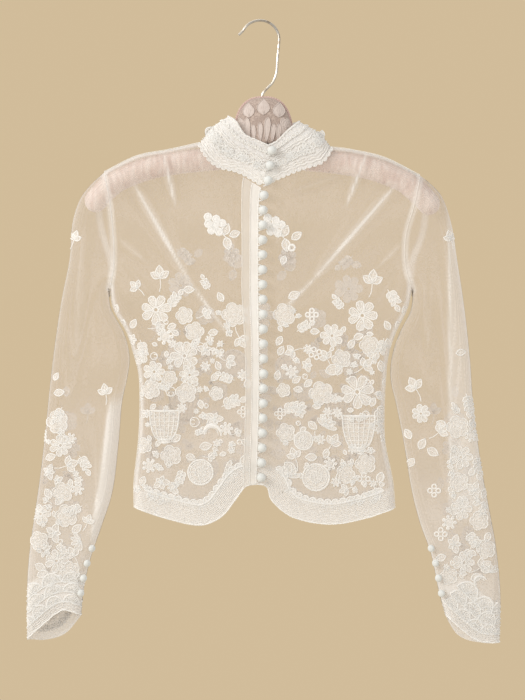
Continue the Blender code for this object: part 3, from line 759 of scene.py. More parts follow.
class Stitchwork:  # threads and stitched grounds, drawn flat and then laid on the net
    def __init__(self):
        self.parts = []  # places, heights, how solid each point is, faces
        self.count = 0

    def take(self, places, heights, solid, quads, threes=()):
        self.parts.append((
            places, heights, np.full(len(places), solid),
            np.asarray(quads, int).reshape(-1, 4) + self.count,
            np.asarray(threes, int).reshape(-1, 3) + self.count,
        ))
        self.count += len(places)

    def thread(self, path, width=0.8, tall=0.75, closed=False, taper=False):
        path = np.asarray(path, float)
        if closed:
            way = np.roll(path, -1, axis=0) - np.roll(path, 1, axis=0)
        else:
            way = np.gradient(path, axis=0)
        way /= np.maximum(np.linalg.norm(way, axis=1), 1e-6)[:, None]
        left = np.column_stack([-way[:, 1], way[:, 0]])
        size = np.ones(len(path))
        if taper:
            size = 0.25 + 0.75 * np.sin(math.pi * np.linspace(0.04, 0.96, len(path)))
        across = np.array([1.0, 0.62, 0.0, -0.62, -1.0])
        rise = np.array([0.0, 0.8, 1.0, 0.8, 0.0])
        places = path[:, None] + left[:, None] * across[:, None] * (width * size)[:, None, None]
        heights = rise[None] * (tall * size)[:, None]
        count = len(path)
        if closed:
            quads = gridFaces(count + 1, 5) % (count * 5)
        else:
            quads = gridFaces(count, 5)
        self.take(places.reshape(-1, 2), heights.ravel(), 1.0, quads)

    def ground(self, outline, solid=0.5, height=0.3):  # outlines run anticlockwise
        outline = np.asarray(outline, float)
        middle, count = outline.mean(0), len(outline)
        inner = middle + (outline - middle) * 0.55
        places = np.vstack([outline, inner, middle[None]])
        heights = np.concatenate([np.full(count, 0.08), np.full(count + 1, height)])
        j = np.arange(count)
        after = (j + 1) % count
        quads = np.column_stack([j, after, after + count, j + count])
        threes = np.column_stack([j + count, after + count, np.full(count, 2 * count)])
        self.take(places, heights, solid, quads, threes)

    def lay(self, name, face, material, outline=None, lift=0.0, seam=0.0, form=onForm):
        places, heights, solid, quads, threes = (
            np.concatenate([part[k] for part in self.parts]) for k in range(5)
        )
        if outline is not None:  # cut off at the panel's edges
            inside = within(places, outline)
            quads, threes = quads[inside[quads].all(1)], threes[inside[threes].all(1)]
        kept = np.unique(np.concatenate([quads.ravel(), threes.ravel()]))
        number = np.zeros(len(places), int)
        number[kept] = np.arange(len(kept))
        places = places[kept]
        points, normals, _ = form(places, face, 0)
        points += normals * (heights[kept] + cloth["laceLift"] + lift)[:, None]
        points[:, 1] += face * seam
        return makeMesh(name, points, [number[quads], number[threes]], normals, material, solid=solid[kept])


def within(places, outline):
    inside = np.zeros(len(places), bool)
    x, z = places[:, 0], places[:, 1]
    for (startX, startZ), (endX, endZ) in zip(outline, np.roll(outline, -1, axis=0)):
        if startZ == endZ:
            continue
        crosses = (startZ > z) != (endZ > z)
        inside ^= crosses & (x < (endX - startX) * (z - startZ) / (endZ - startZ) + startX)
    return inside


def circle(count, radius=1.0, start=0.0, end=360.0):
    angles = np.radians(np.linspace(start, end, count, endpoint=abs(end - start) < 360))
    return radius * np.column_stack([np.cos(angles), np.sin(angles)])


def leafShape(width=0.31, fullness=0.35, count=7):  # from its stalk at 0 to its tip at 1
    up = np.linspace(0, 1, count)
    half = width * np.sin(math.pi * up) ** 0.85 * (1 + fullness * (0.5 - up))
    lower, upper = np.column_stack([up, -half]), np.column_stack([up, half])
    return np.vstack([lower, upper[-2:0:-1]])


def petalShape(width, count=10):
    turn = np.linspace(0, 2 * math.pi, count, endpoint=False)
    swell = (1 - np.cos(turn)) / 2
    return np.column_stack([swell, -np.sin(turn) * width * (0.3 + 0.7 * swell)])


def put(points, x, z, size=1.0, turn=0.0):
    angle = math.radians(turn)
    spin = np.array([[math.cos(angle), math.sin(angle)], [-math.sin(angle), math.cos(angle)]])
    return np.asarray(points, float) @ spin * size + (x, z)


leafStitch = {"rim": 0.75, "tall": 0.9, "ground": 0.2, "vein": 0.3}
flowerStitch = {"rim": 0.75, "tall": 0.95, "petals": 7, "ground": 0.25}
roseStitch = {"rim": 0.62, "tall": 1.15, "ground": 0.3}
basketStitch = {"rim": 0.9, "bar": 0.55, "bars": 7, "tall": 0.9}


def leaf(work, x, z, size, turn, solid=leafStitch["ground"]):
    outline = put(leafShape(), x, z, size, turn)
    work.ground(outline, solid)
    work.thread(outline, leafStitch["rim"], leafStitch["tall"], closed=True)
    if size > 7:
        work.thread(put([(0.12, 0), (0.4, 0.02), (0.78, 0)], x, z, size, turn), leafStitch["vein"], 0.6)


def ring(work, x, z, size, turn=0):
    work.thread(put(circle(10), x, z, size * 0.72), max(0.6, size * 0.26), 0.9, closed=True)


def rings(work, x, z, size, turn):
    for place in circle(4, 0.62, turn, turn + 360):
        ring(work, *(place * size + (x, z)), size * 0.46)


def bloom(work, x, z, size, turn):
    count = flowerStitch["petals"]
    for k in range(count):
        angle = turn + 360 * k / count + 5 * math.sin(3 * k)
        reach = size * (0.78 + 0.05 * math.sin(5 * k + x))
        root = put([(0.2, 0)], x, z, size, angle)[0]
        outline = put(petalShape(0.46), *root, reach, angle)
        work.ground(outline, flowerStitch["ground"])
        work.thread(outline, flowerStitch["rim"], flowerStitch["tall"], closed=True)
        for lean in (-0.12, 0.12):
            work.thread(put([(0.2, 0), (0.5, lean), (0.8, 1.5 * lean)], *root, reach, angle), 0.4, 0.7)
    ring(work, x, z, size * 0.24)


def rose(work, x, z, size, turn):  # five lobes round two rows of folded petals
    angles = np.radians(np.linspace(0, 360, 30, endpoint=False))
    lobed = circle(30) * (0.8 + 0.24 * np.abs(np.sin(2.5 * angles)) ** 0.7)[:, None]
    outline = put(lobed, x, z, size, turn)
    work.ground(outline, roseStitch["ground"], 0.6)
    work.thread(outline, roseStitch["rim"], roseStitch["tall"], closed=True)
    for row, (count, reach, span) in enumerate(((5, 0.68, 30), (4, 0.4, 36))):
        for k in range(count):
            angle = turn + 36 + 360 * (k + 0.5 * row) / count
            arc = circle(6, 1.0, angle - span, angle + span) * reach
            arc *= 1 - 0.2 * np.linspace(-1, 1, 6)[:, None] ** 2
            width, tall = roseStitch["rim"] * 0.8, roseStitch["tall"] + 0.3 * row
            work.thread(put(arc, x, z, size), width, tall, taper=True)
    work.thread(put([(-0.14, 0), (0, 0.05), (0.14, 0)], x, z, size, turn), 0.09 * size, 1.4, taper=True)


def disc(work, x, z, size, turn):
    work.ground(put(circle(18), x, z, size), 0.35, 0.35)
    for reach, width in ((1.0, 1.0), (0.82, 0.5), (0.42, 0.5)):
        work.thread(put(circle(20), x, z, size * reach), width, 1.0, closed=True)
    for k in range(12):
        spoke = [(0.1, 0), (0.5, 0.03 * (-1) ** k), (0.98, 0)]
        work.thread(put(spoke, x, z, size, turn + 30 * k), 0.45, 0.8)


def buds(work, x, z, size, turn):  # a spike of small buds over two leaves
    stem = [(0, 0), (0.5, 0.05), (1.0, 0.0)]
    work.thread(put(stem, x, z, size, turn), 0.5, 0.7)
    for bud in ((1.05, 0), (0.86, 0.15), (0.8, -0.16), (0.62, 0.22), (0.55, -0.22), (0.66, 0), (0.4, 0.06)):
        spot = put([bud], x, z, size, turn)[0]
        work.ground(put(circle(8), *spot, size * 0.11), 0.95, 0.9)
        work.thread(put(circle(8), *spot, size * 0.12), size * 0.04, 1.1, closed=True)
    leaf(work, *put([(0.2, 0)], x, z, size, turn)[0], size * 0.42, turn - 62)
    leaf(work, *put([(0.1, 0)], x, z, size, turn)[0], size * 0.46, turn + 150)


def sprig(work, x, z, size, turn):  # three leaves on a curved stalk
    stalk = np.array([(-1.1, 0.16), (-0.7, 0.02), (-0.3, 0.0), (0.1, 0.0)])
    work.thread(put(stalk, x, z, size, turn), 0.5, 0.7)
    for lean, length in ((58, 0.85), (0, 1.0), (-58, 0.85)):
        leaf(work, x, z, size * length, turn + lean)


def cluster(work, x, z, size, turn):
    for k in range(5):
        leaf(work, x, z, size * (0.8 + 0.2 * math.sin(2 * k + x)), turn + 72 * k)
    ring(work, x, z, size * 0.2)


def spray(work, x, z, size, turn):  # a stalk with leaves in pairs
    stalk = np.array([(0, 0), (0.35, 0.06), (0.7, 0.04), (1.0, -0.04)])
    work.thread(put(stalk, x, z, size, turn), 0.5, 0.7)
    for up in (0.2, 0.45, 0.7):
        root = put([(up, 0.05)], x, z, size, turn)[0]
        leaf(work, *root, size * 0.38, turn + 50, 0.4)
        leaf(work, *root, size * 0.36, turn - 55, 0.4)
    leaf(work, *put([(0.95, -0.03)], x, z, size, turn)[0], size * 0.42, turn)


def scroll(work, x, z, size, turn):
    path = circle(12, 1.0, 20, 215) * np.linspace(1.0, 0.55, 12)[:, None]
    work.thread(put(path, x, z, size, turn), 0.2 * size, 1.4, taper=True)
    work.thread(put(path * 0.72, x, z, size, turn), 0.5, 0.8)


def curls(work, x, z, size, turn):
    for sign in (-1, 1):
        path = circle(12, 1.0, 0, 300) * np.linspace(0.5, 0.16, 12)[:, None] + (0.5, 0)
        path[:, 1] *= sign
        work.thread(put(path, x, z, size, turn), 0.6, 0.8)


def fan(work, x, z, size, turn):
    for k in range(5):
        outline = put(petalShape(0.22), x, z, size, turn - 70 + 35 * k)
        work.ground(outline, 0.35)
        work.thread(outline, 0.65, 0.9, closed=True)
    work.thread(put(circle(7, 0.3, -80, 80), x, z, size, turn), 0.7, 1.0)


def dots(work, x, z, size, turn):
    for place in circle(7, 0.7, turn, turn + 360):
        work.thread(put(circle(6), *(place * size + (x, z)), size * 0.14), size * 0.1, 1.0, closed=True)
    work.ground(put(circle(10), x, z, size * 0.5), 0.5, 0.6)
    work.thread(put(circle(10), x, z, size * 0.5), 0.7, 1.0, closed=True)


def basket(work, x, z, size, turn):  # an urn of pierced bars on a solid foot
    up = np.linspace(-1, 1, 9)
    half = 0.3 + 0.68 * np.sqrt(1 - ((1 - up) / 2) ** 2)
    right, left = np.column_stack([half, up]), np.column_stack([-half, up])
    work.ground(put(np.vstack([right, left[::-1]]), x, z, size, turn), 0.1, 0.2)
    for k in range(basketStitch["bars"]):
        lean = 2 * k / (basketStitch["bars"] - 1) - 1
        bar = np.column_stack([half * lean, up])
        work.thread(put(bar, x, z, size, turn), basketStitch["bar"], basketStitch["tall"])
    for level in range(1, 8):
        band = np.column_stack([np.linspace(-half[level], half[level], 7), np.full(7, up[level])])
        work.thread(put(band, x, z, size, turn), 0.4, 0.7)
    for level, wide, width in ((1.0, 1.1, 1.7), (-0.9, 0.5, 1.9), (-1.08, 0.42, 1.6)):
        sag = 0.06 * np.cos(np.linspace(-1.5, 1.5, 9))
        band = np.column_stack([np.linspace(-wide, wide, 9), level - sag])
        work.thread(put(band, x, z, size, turn), width, 1.1, taper=True)
    work.thread(put(right, x, z, size, turn), basketStitch["rim"], 1.0)
    work.thread(put(left, x, z, size, turn), basketStitch["rim"], 1.0)


motifs = {
    motif.__name__: motif for motif in (
        leaf, ring, rings, bloom, rose, disc, buds, sprig, cluster, spray, scroll, curls, fan, dots, basket,
    )
}

laceRows = {  # where each kind of motif is sewn: x, z, size, turn
    "frontRight": {
        "basket": [(-114, -484, 18, 0)],
        "bloom": [(-124, -346, 18, 10), (-90, -401, 17, 25), (-126, -420, 13, 0), (-84, -424, 12, 15)],
        "rose": [
            (-90, -353, 10, 0), (-78, -372, 11, 40), (-31, -352, 14, 0), (-143, -402, 9, 0),
            (-108, -428, 9, 20), (-130, -441, 11, 0), (-88, -445, 12, 60), (-106, -520, 12, 0),
            (-138, -508, 9, 0), (-52, -446, 8, 0),
        ],
        "disc": [(-71, -540, 15, 0)],
        "buds": [(-38, -262, 34, 132)],
        "fan": [(-42, -540, 16, -10)],
        "dots": [(-113, -378, 11, 0), (-40, -488, 9, 0), (-132, -532, 10, 0), (-20, -424, 8, 0)],
        "rings": [(-20, -468, 7, 0), (-30, -452, 6, 45)],
        "scroll": [(-59, -494, 13, -30)],
        "curls": [(-106, -452, 14, 90), (-86, -480, 14, 0)],
        "cluster": [
            (-65, -394, 11, 20), (-54, -476, 12, 0), (-118, -552, 11, 0), (-136, -470, 8, 0),
            (-153, -382, 9, 0),
        ],
        "spray": [
            (-108, -344, 20, 55), (-143, -382, 20, -80), (-46, -462, 24, 20), (-92, -536, 18, -110),
            (-60, -322, 15, 120), (-30, -430, 18, 160),
        ],
        "sprig": [
            (-119, -308, 15, 95), (-146, -320, 11, 140), (-24, -380, 13, -60), (-14, -508, 12, 80),
            (-13, -538, 12, 100), (-66, -352, 10, 30), (-38, -408, 10, -20),
        ],
        "leaf": [
            (-36, -258, 13, 20), (-91, -322, 13, 0), (-100, -364, 11, 200), (-97, -376, 10, 150),
            (-44, -336, 12, 120), (-50, -372, 12, 190), (-95, -496, 13, 215), (-72, -510, 15, 10),
            (-88, -520, 12, -20), (-22, -532, 16, 60), (-58, -430, 12, 40), (-48, -418, 11, 110),
            (-138, -545, 12, 250), (-30, -402, 10, 200), (-16, -440, 12, 80), (-171, -340, 13, 250),
            (-163, -358, 13, 250), (-154, -368, 12, 60),
        ],
    },
    "frontLeft": {
        "basket": [(118, -492, 20, 0)],
        "bloom": [(122, -353, 18, 0), (86, -377, 14, 20), (116, -444, 20, 12)],
        "rose": [
            (29, -352, 13, 0), (130, -388, 11, 0), (97, -405, 11, 0), (73, -446, 14, 0), (31, -493, 11, 0),
            (126, -530, 12, 0), (102, -542, 11, 30), (146, -470, 9, 0), (28, -442, 8, 0),
        ],
        "disc": [(52, -502, 11, 0), (67, -546, 16, 0)],
        "buds": [(32, -264, 34, 130)],
        "fan": [(78, -486, 14, 60), (34, -546, 15, 80)],
        "dots": [(84, -530, 9, 0), (38, -420, 9, 0)],
        "rings": [(62, -352, 8, 0), (66, -398, 8, 20), (24, -470, 7, 0), (124, -548, 8, 0)],
        "ring": [(38, -272, 5, 0)],
        "curls": [(90, -482, 13, 180)],
        "cluster": [(56, -412, 9, 0), (48, -468, 11, 0), (150, -500, 9, 0)],
        "spray": [
            (152, -322, 22, -60), (44, -372, 18, 30), (26, -466, 22, 10), (148, -380, 20, 250),
            (100, -345, 16, 130),
        ],
        "sprig": [
            (134, -314, 16, 85), (124, -414, 13, 40), (80, -404, 11, 120), (86, -506, 13, 60),
            (42, -522, 12, 110), (104, -560, 10, 200), (40, -395, 11, 200),
        ],
        "leaf": [
            (38, -262, 14, 35), (30, -282, 11, 250), (34, -332, 15, 25), (26, -378, 12, 240),
            (106, -392, 12, 60), (112, -380, 12, 20), (78, -420, 20, 15), (62, -430, 12, 220),
            (92, -424, 13, 70), (146, -420, 14, 100), (58, -480, 13, -40), (80, -512, 12, -100),
            (68, -522, 14, 180), (30, -528, 20, -50), (146, -540, 14, 250), (22, -400, 12, 60),
            (20, -430, 12, 80), (60, -372, 11, 0), (172, -342, 13, 290), (164, -360, 13, 290),
            (154, -392, 12, 100), (155, -370, 12, 120),
        ],
    },
    "back": {
        "basket": [(-92, -462, 18, 0), (96, -464, 18, 0)],
        "bloom": [
            (107, -320, 17, 0), (-96, -316, 15, 0), (0, -352, 18, 0), (-104, -404, 17, 0),
            (108, -408, 17, 0), (0, -448, 16, 30), (-32, -536, 12, 0), (36, -538, 12, 0),
        ],
        "rose": [
            (-66, -352, 11, 0), (68, -356, 12, 0), (-50, -444, 11, 0), (52, -446, 11, 0),
            (-126, -446, 10, 0), (130, -448, 10, 0),
        ],
        "disc": [(-32, -410, 16, 0), (34, -414, 15, 0), (-66, -536, 15, 0), (70, -538, 15, 0)],
        "buds": [(-30, -300, 30, 100), (30, -302, 30, 80)],
        "fan": [(-30, -482, 14, -60), (32, -484, 14, -120)],
        "rings": [(-20, -516, 8, 0), (22, -518, 8, 0)],
        "scroll": [(-56, -490, 13, 0), (60, -492, 13, 120)],
        "cluster": [(-112, -516, 12, 0), (116, -518, 12, 0)],
        "spray": [
            (-101, -272, 20, -40), (112, -280, 20, 220), (0, -384, 26, -90), (-134, -530, 20, 70),
            (136, -532, 20, 110),
        ],
        "sprig": [(-124, -372, 14, 60), (128, -376, 14, 110), (0, -500, 14, 90)],
        "leaf": [
            (-91, -288, 13, 10), (-79, -281, 12, 40), (122, -292, 12, 170), (-80, -424, 14, 30),
            (84, -426, 14, 150),
        ],
    },
    "sleeveRight": {
        "bloom": [(-238, -508, 13, 0), (-262, -590, 12, 0), (-243, -646, 14, 0)],
        "rose": [
            (-242, -480, 13, 0), (-236, -564, 12, 0), (-231, -592, 13, 0), (-264, -622, 11, 0),
            (-226, -658, 11, 0),
        ],
        "fan": [(-214, -622, 12, 200)],
        "dots": [(-218, -560, 9, 0), (-226, -500, 8, 0)],
        "rings": [(-250, -668, 7, 0)],
        "cluster": [(-252, -540, 10, 0), (-246, -613, 13, 0)],
        "spray": [
            (-236, -462, 18, 240), (-216, -520, 20, -60), (-212, -580, 18, 200), (-262, -486, 18, -90),
        ],
        "sprig": [
            (-184, -446, 12, 100), (-230, -532, 14, 20), (-222, -640, 12, 120), (-206, -600, 10, 70),
            (-222, -262, 11, 70),
        ],
        "leaf": [
            (-246, -446, 13, 10), (-256, -524, 13, 20), (-256, -560, 13, -60), (-224, -612, 14, 40),
            (-268, -650, 14, -30), (-266, -664, 14, 20), (-246, -430, 10, 60), (-228, -246, 10, 100),
        ],
    },
    "sleeveLeft": {
        "bloom": [(192, -470, 11, 0), (240, -522, 14, 0), (240, -584, 13, 0), (244, -648, 13, 0)],
        "rose": [
            (236, -486, 13, 0), (238, -552, 11, 0), (262, -598, 11, 0), (270, -632, 11, 0),
            (226, -664, 10, 0),
        ],
        "fan": [(276, -660, 10, 90)],
        "dots": [(226, -600, 10, 0), (252, -496, 9, 0)],
        "rings": [(208, -562, 8, 0), (216, -614, 8, 0)],
        "scroll": [(262, -672, 9, 0)],
        "cluster": [(256, -562, 13, 0), (232, -626, 12, 0)],
        "spray": [(246, -446, 22, -80), (258, -520, 22, -80), (246, -612, 22, -50)],
        "sprig": [(186, -440, 15, 120), (214, -492, 13, 40), (264, -654, 14, 30), (228, -262, 11, 110)],
        "leaf": [
            (180, -500, 13, 120), (190, -512, 14, 60), (200, -512, 15, -30), (184, -524, 13, 230),
            (234, -398, 12, 10), (222, -484, 12, 160), (222, -640, 13, 200), (252, -668, 14, 20),
            (270, -560, 12, 250), (274, -612, 12, 250),
        ],
    },
    "sleeveBack": {  # x here is from the outer fold, inwards
        "bloom": [(30, -512, 13, 0), (44, -586, 12, 0), (42, -640, 13, 0)],
        "rose": [(24, -480, 12, 0), (20, -572, 12, 0), (18, -630, 11, 0)],
        "rings": [(52, -618, 7, 0)],
        "cluster": [(34, -546, 12, 0), (24, -660, 12, 0)],
        "spray": [(12, -530, 20, 250), (26, -604, 22, 250)],
        "sprig": [(48, -470, 12, 90)],
        "leaf": [(50, -664, 13, 30), (52, -560, 12, 100), (20, -450, 12, 90)],
    },
}


def embroider(work, name):
    for kind, places in laceRows[name].items():
        for place in places:
            motifs[kind](work, *place)


def inset(line, distance):  # the line moved to its left by a distance
    way = np.gradient(line, axis=0)
    way /= np.linalg.norm(way, axis=1)[:, None]
    return line + np.column_stack([-way[:, 1], way[:, 0]]) * distance


filler = {  # small leaves and dots among the motifs
    "kinds": ("leaf", "leaf", "sprig", "spray", "leaf", "dots", "curls", "cluster"),
    "sizes": {"sprig": 0.9, "dots": 0.6, "spray": 1.5, "cluster": 0.6},
    "smallest": 6,
    "tries": 5,
    "motifReach": 0.72,  # what each keeps clear of others, as a share of its size
    "reach": 0.55,
    "setReach": 0.4,
    "seeds": {"frontRight": 3, "frontLeft": 4, "back": 9, "sleeveRight": 13, "sleeveLeft": 14},
    "patches": {  # middle x, z, half width, half height, how many
        "frontRight": [
            (-104, -440, 42, 96, 66), (-60, -500, 36, 44, 36),
            (-40, -400, 22, 60, 22), (-120, -556, 28, 24, 18),
        ],
        "frontLeft": [
            (106, -450, 44, 96, 66), (60, -500, 36, 44, 36),
            (38, -400, 22, 60, 22), (120, -556, 30, 24, 18),
        ],
        "back": [(-90, -460, 48, 96, 40), (92, -460, 48, 96, 40), (0, -470, 40, 60, 20)],
        "sleeveRight": [(-240, -575, 26, 100, 66), (-248, -650, 24, 28, 22)],
        "sleeveLeft": [(248, -560, 24, 110, 70), (246, -650, 26, 28, 24)],
    },
}


def fillIn(work, name):  # keeps clear of the motifs and of what it has set already
    chance = np.random.default_rng(filler["seeds"][name])
    drawn = [place for places in laceRows[name].values() for place in places]
    taken = [(x, z, size * filler["motifReach"]) for x, z, size, _ in drawn]
    for x, z, halfWidth, halfHeight, count in filler["patches"][name]:
        for _ in range(count * filler["tries"]):
            if count == 0:
                break
            reach, angle = math.sqrt(chance.random()), chance.random() * 2 * math.pi
            place = (x + halfWidth * reach * math.cos(angle), z + halfHeight * reach * math.sin(angle))
            size, turn = filler["smallest"] * (1 + chance.random()), 360 * chance.random()
            kind = filler["kinds"][int(chance.random() * len(filler["kinds"]))]
            size *= filler["sizes"].get(kind, 1.0)
            near = size * filler["reach"]
            if any(math.dist(place, (u, v)) < near + far for u, v, far in taken):
                continue
            motifs[kind](work, *place, size, turn)
            taken.append((*place, size * filler["setReach"]))
            count -= 1


hemLace = {
    "rows": 11,
    "step": 2.0,
    "wave": 0.45,
    "inner": 25.0,  # how far in the padded line runs
    "scallop": 9.0,
    "bars": 64,
    "barFoot": 19,
}


def edgeRows(work, edge, lace, turn):  # fine corded rows along an edge
    count = int(lineLength(edge) / 2.4)
    for k in range(lace["rows"]):
        line = inset(evenly(edge, count), turn * (0.9 + lace["step"] * k))
        ripple = lace["wave"] * np.sin(np.arange(len(line)) * (1.1 + 0.23 * k) + k * 2.0)
        line = line + np.column_stack([np.zeros(len(line)), ripple])
        work.thread(line, 1.15 if k == 0 else 0.42, 1.0 if k == 0 else 0.6)


def scallops(work, line, size, width=1.0, ground=0.75, ribs=1):  # a run of small shells along a line
    count = max(3, int(lineLength(line) / size))
    middles = evenly(line, count)
    for start, end in zip(middles, middles[1:]):
        centre, way = (start + end) / 2, end - start
        angle = math.degrees(math.atan2(way[1], way[0]))
        half = np.linalg.norm(way) / 2
        shell = put(circle(7, 1.0, 0, 180) * (1.0, 1.15), *centre, half, angle)
        work.ground(shell, ground, 0.4)
        work.thread(shell, width, 1.0)
        for k in range(ribs):
            lean = 90 if ribs == 1 else 20 + 140 * k / (ribs - 1)
            work.thread(put([(0.2, 0), (0.6, 0), (0.98, 0)], *centre, half, angle + lean), 0.45, 0.9)


def hemWork(work, edge, turn):  # an openwork border under a padded scalloped line
    edge = evenly(edge, 90)
    edgeRows(work, edge, hemLace, turn)
    inner = inset(edge, turn * hemLace["inner"])[5:-3][::turn]
    work.thread(inner, 1.6, 1.2)
    work.thread(inset(inner, -2.6), 0.6, 0.8)
    scallops(work, inner, hemLace["scallop"])
    radial = evenly(edge, hemLace["bars"])
    starts, ends = (inset(radial, turn * far) for far in (hemLace["barFoot"], hemLace["inner"] - 1))
    for start, end in list(zip(starts, ends))[3:-3]:
        work.thread(np.linspace(start, end, 3), 0.35, 0.5)


def outlineOf(edges):  # the front panel's edge, all round
    return np.vstack([
        edges["hem"], edges["side"], edges["armholeFront"][::-1],
        edges["shoulder"][::-1], edges["neck"][::-1], midLines["centreFront"],
    ])


def backOutline():
    right, left = lines["right"], lines["left"]
    return np.vstack([
        right["hem"][::-1], left["hem"], left["side"], left["armholeBack"][::-1], left["shoulder"][::-1],
        midLines["backNeck"][::-1], right["shoulder"], right["armholeBack"], right["side"][::-1],
    ])


def sleeveOutline(edges, name):
    return np.vstack([
        edges["sleeveOuter"], edges[f"cuff{name}"], edges["sleeveInner"][::-1], edges[f"armhole{name}"][::-1],
    ])


cuffLace = {
    "rows": 6,
    "step": 2.2,
    "wave": 0.7,
    "tiers": ((11.0, 18.0), (23.0, 21.0), (35.0, 24.0)),  # how far in, and the lobes' width
    "ribs": 9,
    "beyond": 14.0,
}


def cuffWork(work, side, name):  # ribbed lobes over wavy rows of cord
    edge = lines[side][f"cuff{name}"]
    turn = 1 if side == "right" else -1
    start, end = edge[0] - edge[1], edge[-1] - edge[-2]
    start, end = (way / np.linalg.norm(way) * cuffLace["beyond"] for way in (start, end))
    edge = evenly(np.vstack([edge[0] + start, edge, edge[-1] + end]), 44)
    edgeRows(work, edge, cuffLace, turn)
    for height, size in cuffLace["tiers"]:
        line = inset(edge, turn * height)[::turn]
        scallops(work, line, size, 1.3, 0.6, cuffLace["ribs"])
        scallops(work, line, size * 0.55, 0.5, 0.6, 3)
        work.thread(line, 1.1, 1.0)


def seamCord(work, line):
    work.thread(evenly(line, int(lineLength(line) / 5)), 0.7, 0.9)


def buildEmbroidery(lace):
    made = {}

    def lay(work, node, name, face, outline, seam=0.0):
        made[node] = work.lay(f"embroidery_{name}", face, lace, outline, seam=seam)

    for side, edges in lines.items():
        name = side.title()
        front, sleeve, behind = Stitchwork(), Stitchwork(), Stitchwork()
        embroider(front, f"front{name}")
        fillIn(front, f"front{name}")
        hemWork(front, edges["hem"], 1 if side == "left" else -1)
        seamCord(front, edges["armholeFront"])
        lay(front, f"front_{side}", f"front{name}", -1, outlineOf(edges), cloth["seam"])
        embroider(sleeve, f"sleeve{name}")
        fillIn(sleeve, f"sleeve{name}")
        cuffWork(sleeve, side, "Front")
        lay(sleeve, f"sleeve_{side}", f"sleeve{name}", -1, sleeveOutline(edges, "Front"))
        outer = edges["sleeveOuter"][::-1]
        for kind, places in laceRows["sleeveBack"].items():
            for x, z, size, turn in places:
                fold = np.interp(z, outer[:, 1], outer[:, 0])
                motifs[kind](behind, fold + (x if side == "right" else -x), z, size, turn)
        cuffWork(behind, side, "Back")
        lay(behind, f"sleeveBack_{side}", f"sleeveBack{name}", 1, sleeveOutline(edges, "Back"))
    work = Stitchwork()
    embroider(work, "back")
    fillIn(work, "back")
    hemWork(work, lines["right"]["hem"], -1)
    hemWork(work, lines["left"]["hem"], 1)
    for edges in lines.values():
        seamCord(work, edges["armholeBack"])
    lay(work, "back", "back", 1, backOutline(), cloth["seam"])
    return made


collarLace = {
    "columns": 44,
    "backColumns": 60,
    "rows": 16,
    "shell": 6.5,
    "cords": [  # how far up, width
        (0.05, 0.8), (0.11, 0.4), (0.17, 0.4), (0.55, 0.8), (0.61, 0.4), (0.97, 0.8),
    ],
    "petals": (0.24, 0.52),  # from how far up to how far up
    "turnedEdge": 0.8,
    "lift": 0.5,
}


def wingPatch(side):
    edges = lines[side]
    runs = edges["neck"], edges["collarTop"], midLines["collarFront"], edges["collarFold"]
    return patch(*map(along, runs))


def collarBackPatch():
    folds = (edges["collarFold"] for edges in lines.values())
    return patch(*map(along, (midLines["backNeck"], midLines["backCollarTop"], *folds)))


def level(place, up, count=60, start=0.0, end=1.0):
    return place(np.linspace(start, end, count), np.full(count, up))


def collarWork(work, place, turned):  # lobes under corded rows, then a spray of petals and a frilled top
    def row(up, start=0.02, end=0.99):
        line = level(place, up, 60, start, end)
        return line[::-1] if turned else line
    scallops(work, row(0.0)[::-1], collarLace["shell"], 0.7, 0.9, 3)
    for up, width in collarLace["cords"]:
        ripple = 0.7 * np.sin(np.arange(60) * 0.9 + 20 * up)
        work.thread(row(up) + np.column_stack([np.zeros(60), ripple]), width, 0.8)
    scallops(work, row(0.74), collarLace["shell"], 0.6, 0.9, 3)
    count = int(lineLength(row(0.3)) / collarLace["shell"])
    feet, heads = (evenly(row(up), count) for up in collarLace["petals"])
    for k in range(count):
        reach = heads[k] - feet[k]
        length = np.linalg.norm(reach)
        angle = math.degrees(math.atan2(reach[1], reach[0]))
        if k % 3 == 2:
            bloom(work, *(feet[k] + reach * 0.5), length * 0.52, 20 * k)
            continue
        leaf(work, *feet[k], length * 0.95, angle + 34 * math.sin(2.3 * k), 0.6)
        leaf(work, *(feet[k] + reach * 0.2), length * 0.7, angle - 50 + 30 * math.sin(1.7 * k), 0.6)


def buildCollar(ground, lace):
    rows = np.linspace(0, 1, collarLace["rows"])
    sides = {}
    for side in ("right", "left"):
        grid = gridOf(wingPatch(side), crowd(collarLace["columns"], False, True), rows)
        sides[side] = layGrid(grid, -1, cloth["netLift"])[:2]
    grid = gridOf(collarBackPatch(), crowd(collarLace["backColumns"], True, True), rows)
    behind = layGrid(grid, 1, cloth["netLift"])[:2]
    points, normals = (
        np.concatenate([right, back[:, 1:-1], left[:, ::-1]], axis=1)
        for right, back, left in zip(sides["right"], behind, sides["left"])
    )
    solid = np.zeros(points.shape[:2])
    solid[(0, -1), :] = collarLace["turnedEdge"]
    collar = gridMesh("collar_band", points, normals, ground, solid=solid)
    work = Stitchwork()
    collarWork(work, wingPatch("right"), True)
    collarWork(work, wingPatch("left"), False)
    front = work.lay("embroidery_collarFront", -1, lace, lift=collarLace["lift"])
    work = Stitchwork()
    collarWork(work, collarBackPatch(), True)
    return collar, front, work.lay("embroidery_collarBack", 1, lace, lift=collarLace["lift"])


placket = {
    "width": 17.0,
    "lift": 1.5,
    "rows": 150,
    "columns": 15,
    "bright": 8.0,  # how much of its width is doubled
    "bottom": 0.004,
    "top": 0.985,
}
buttons = {"fromEdge": 5.4, "loop": 6.1, "loopWidth": 0.75, "forward": 1.8, "cuffHeight": 3.8}


def placketPlace(share, up):
    place = frontPatch("right")
    width = lineLength(level(place, 0.5))
    return place((0.3 + share * placket["width"]) / width, up)


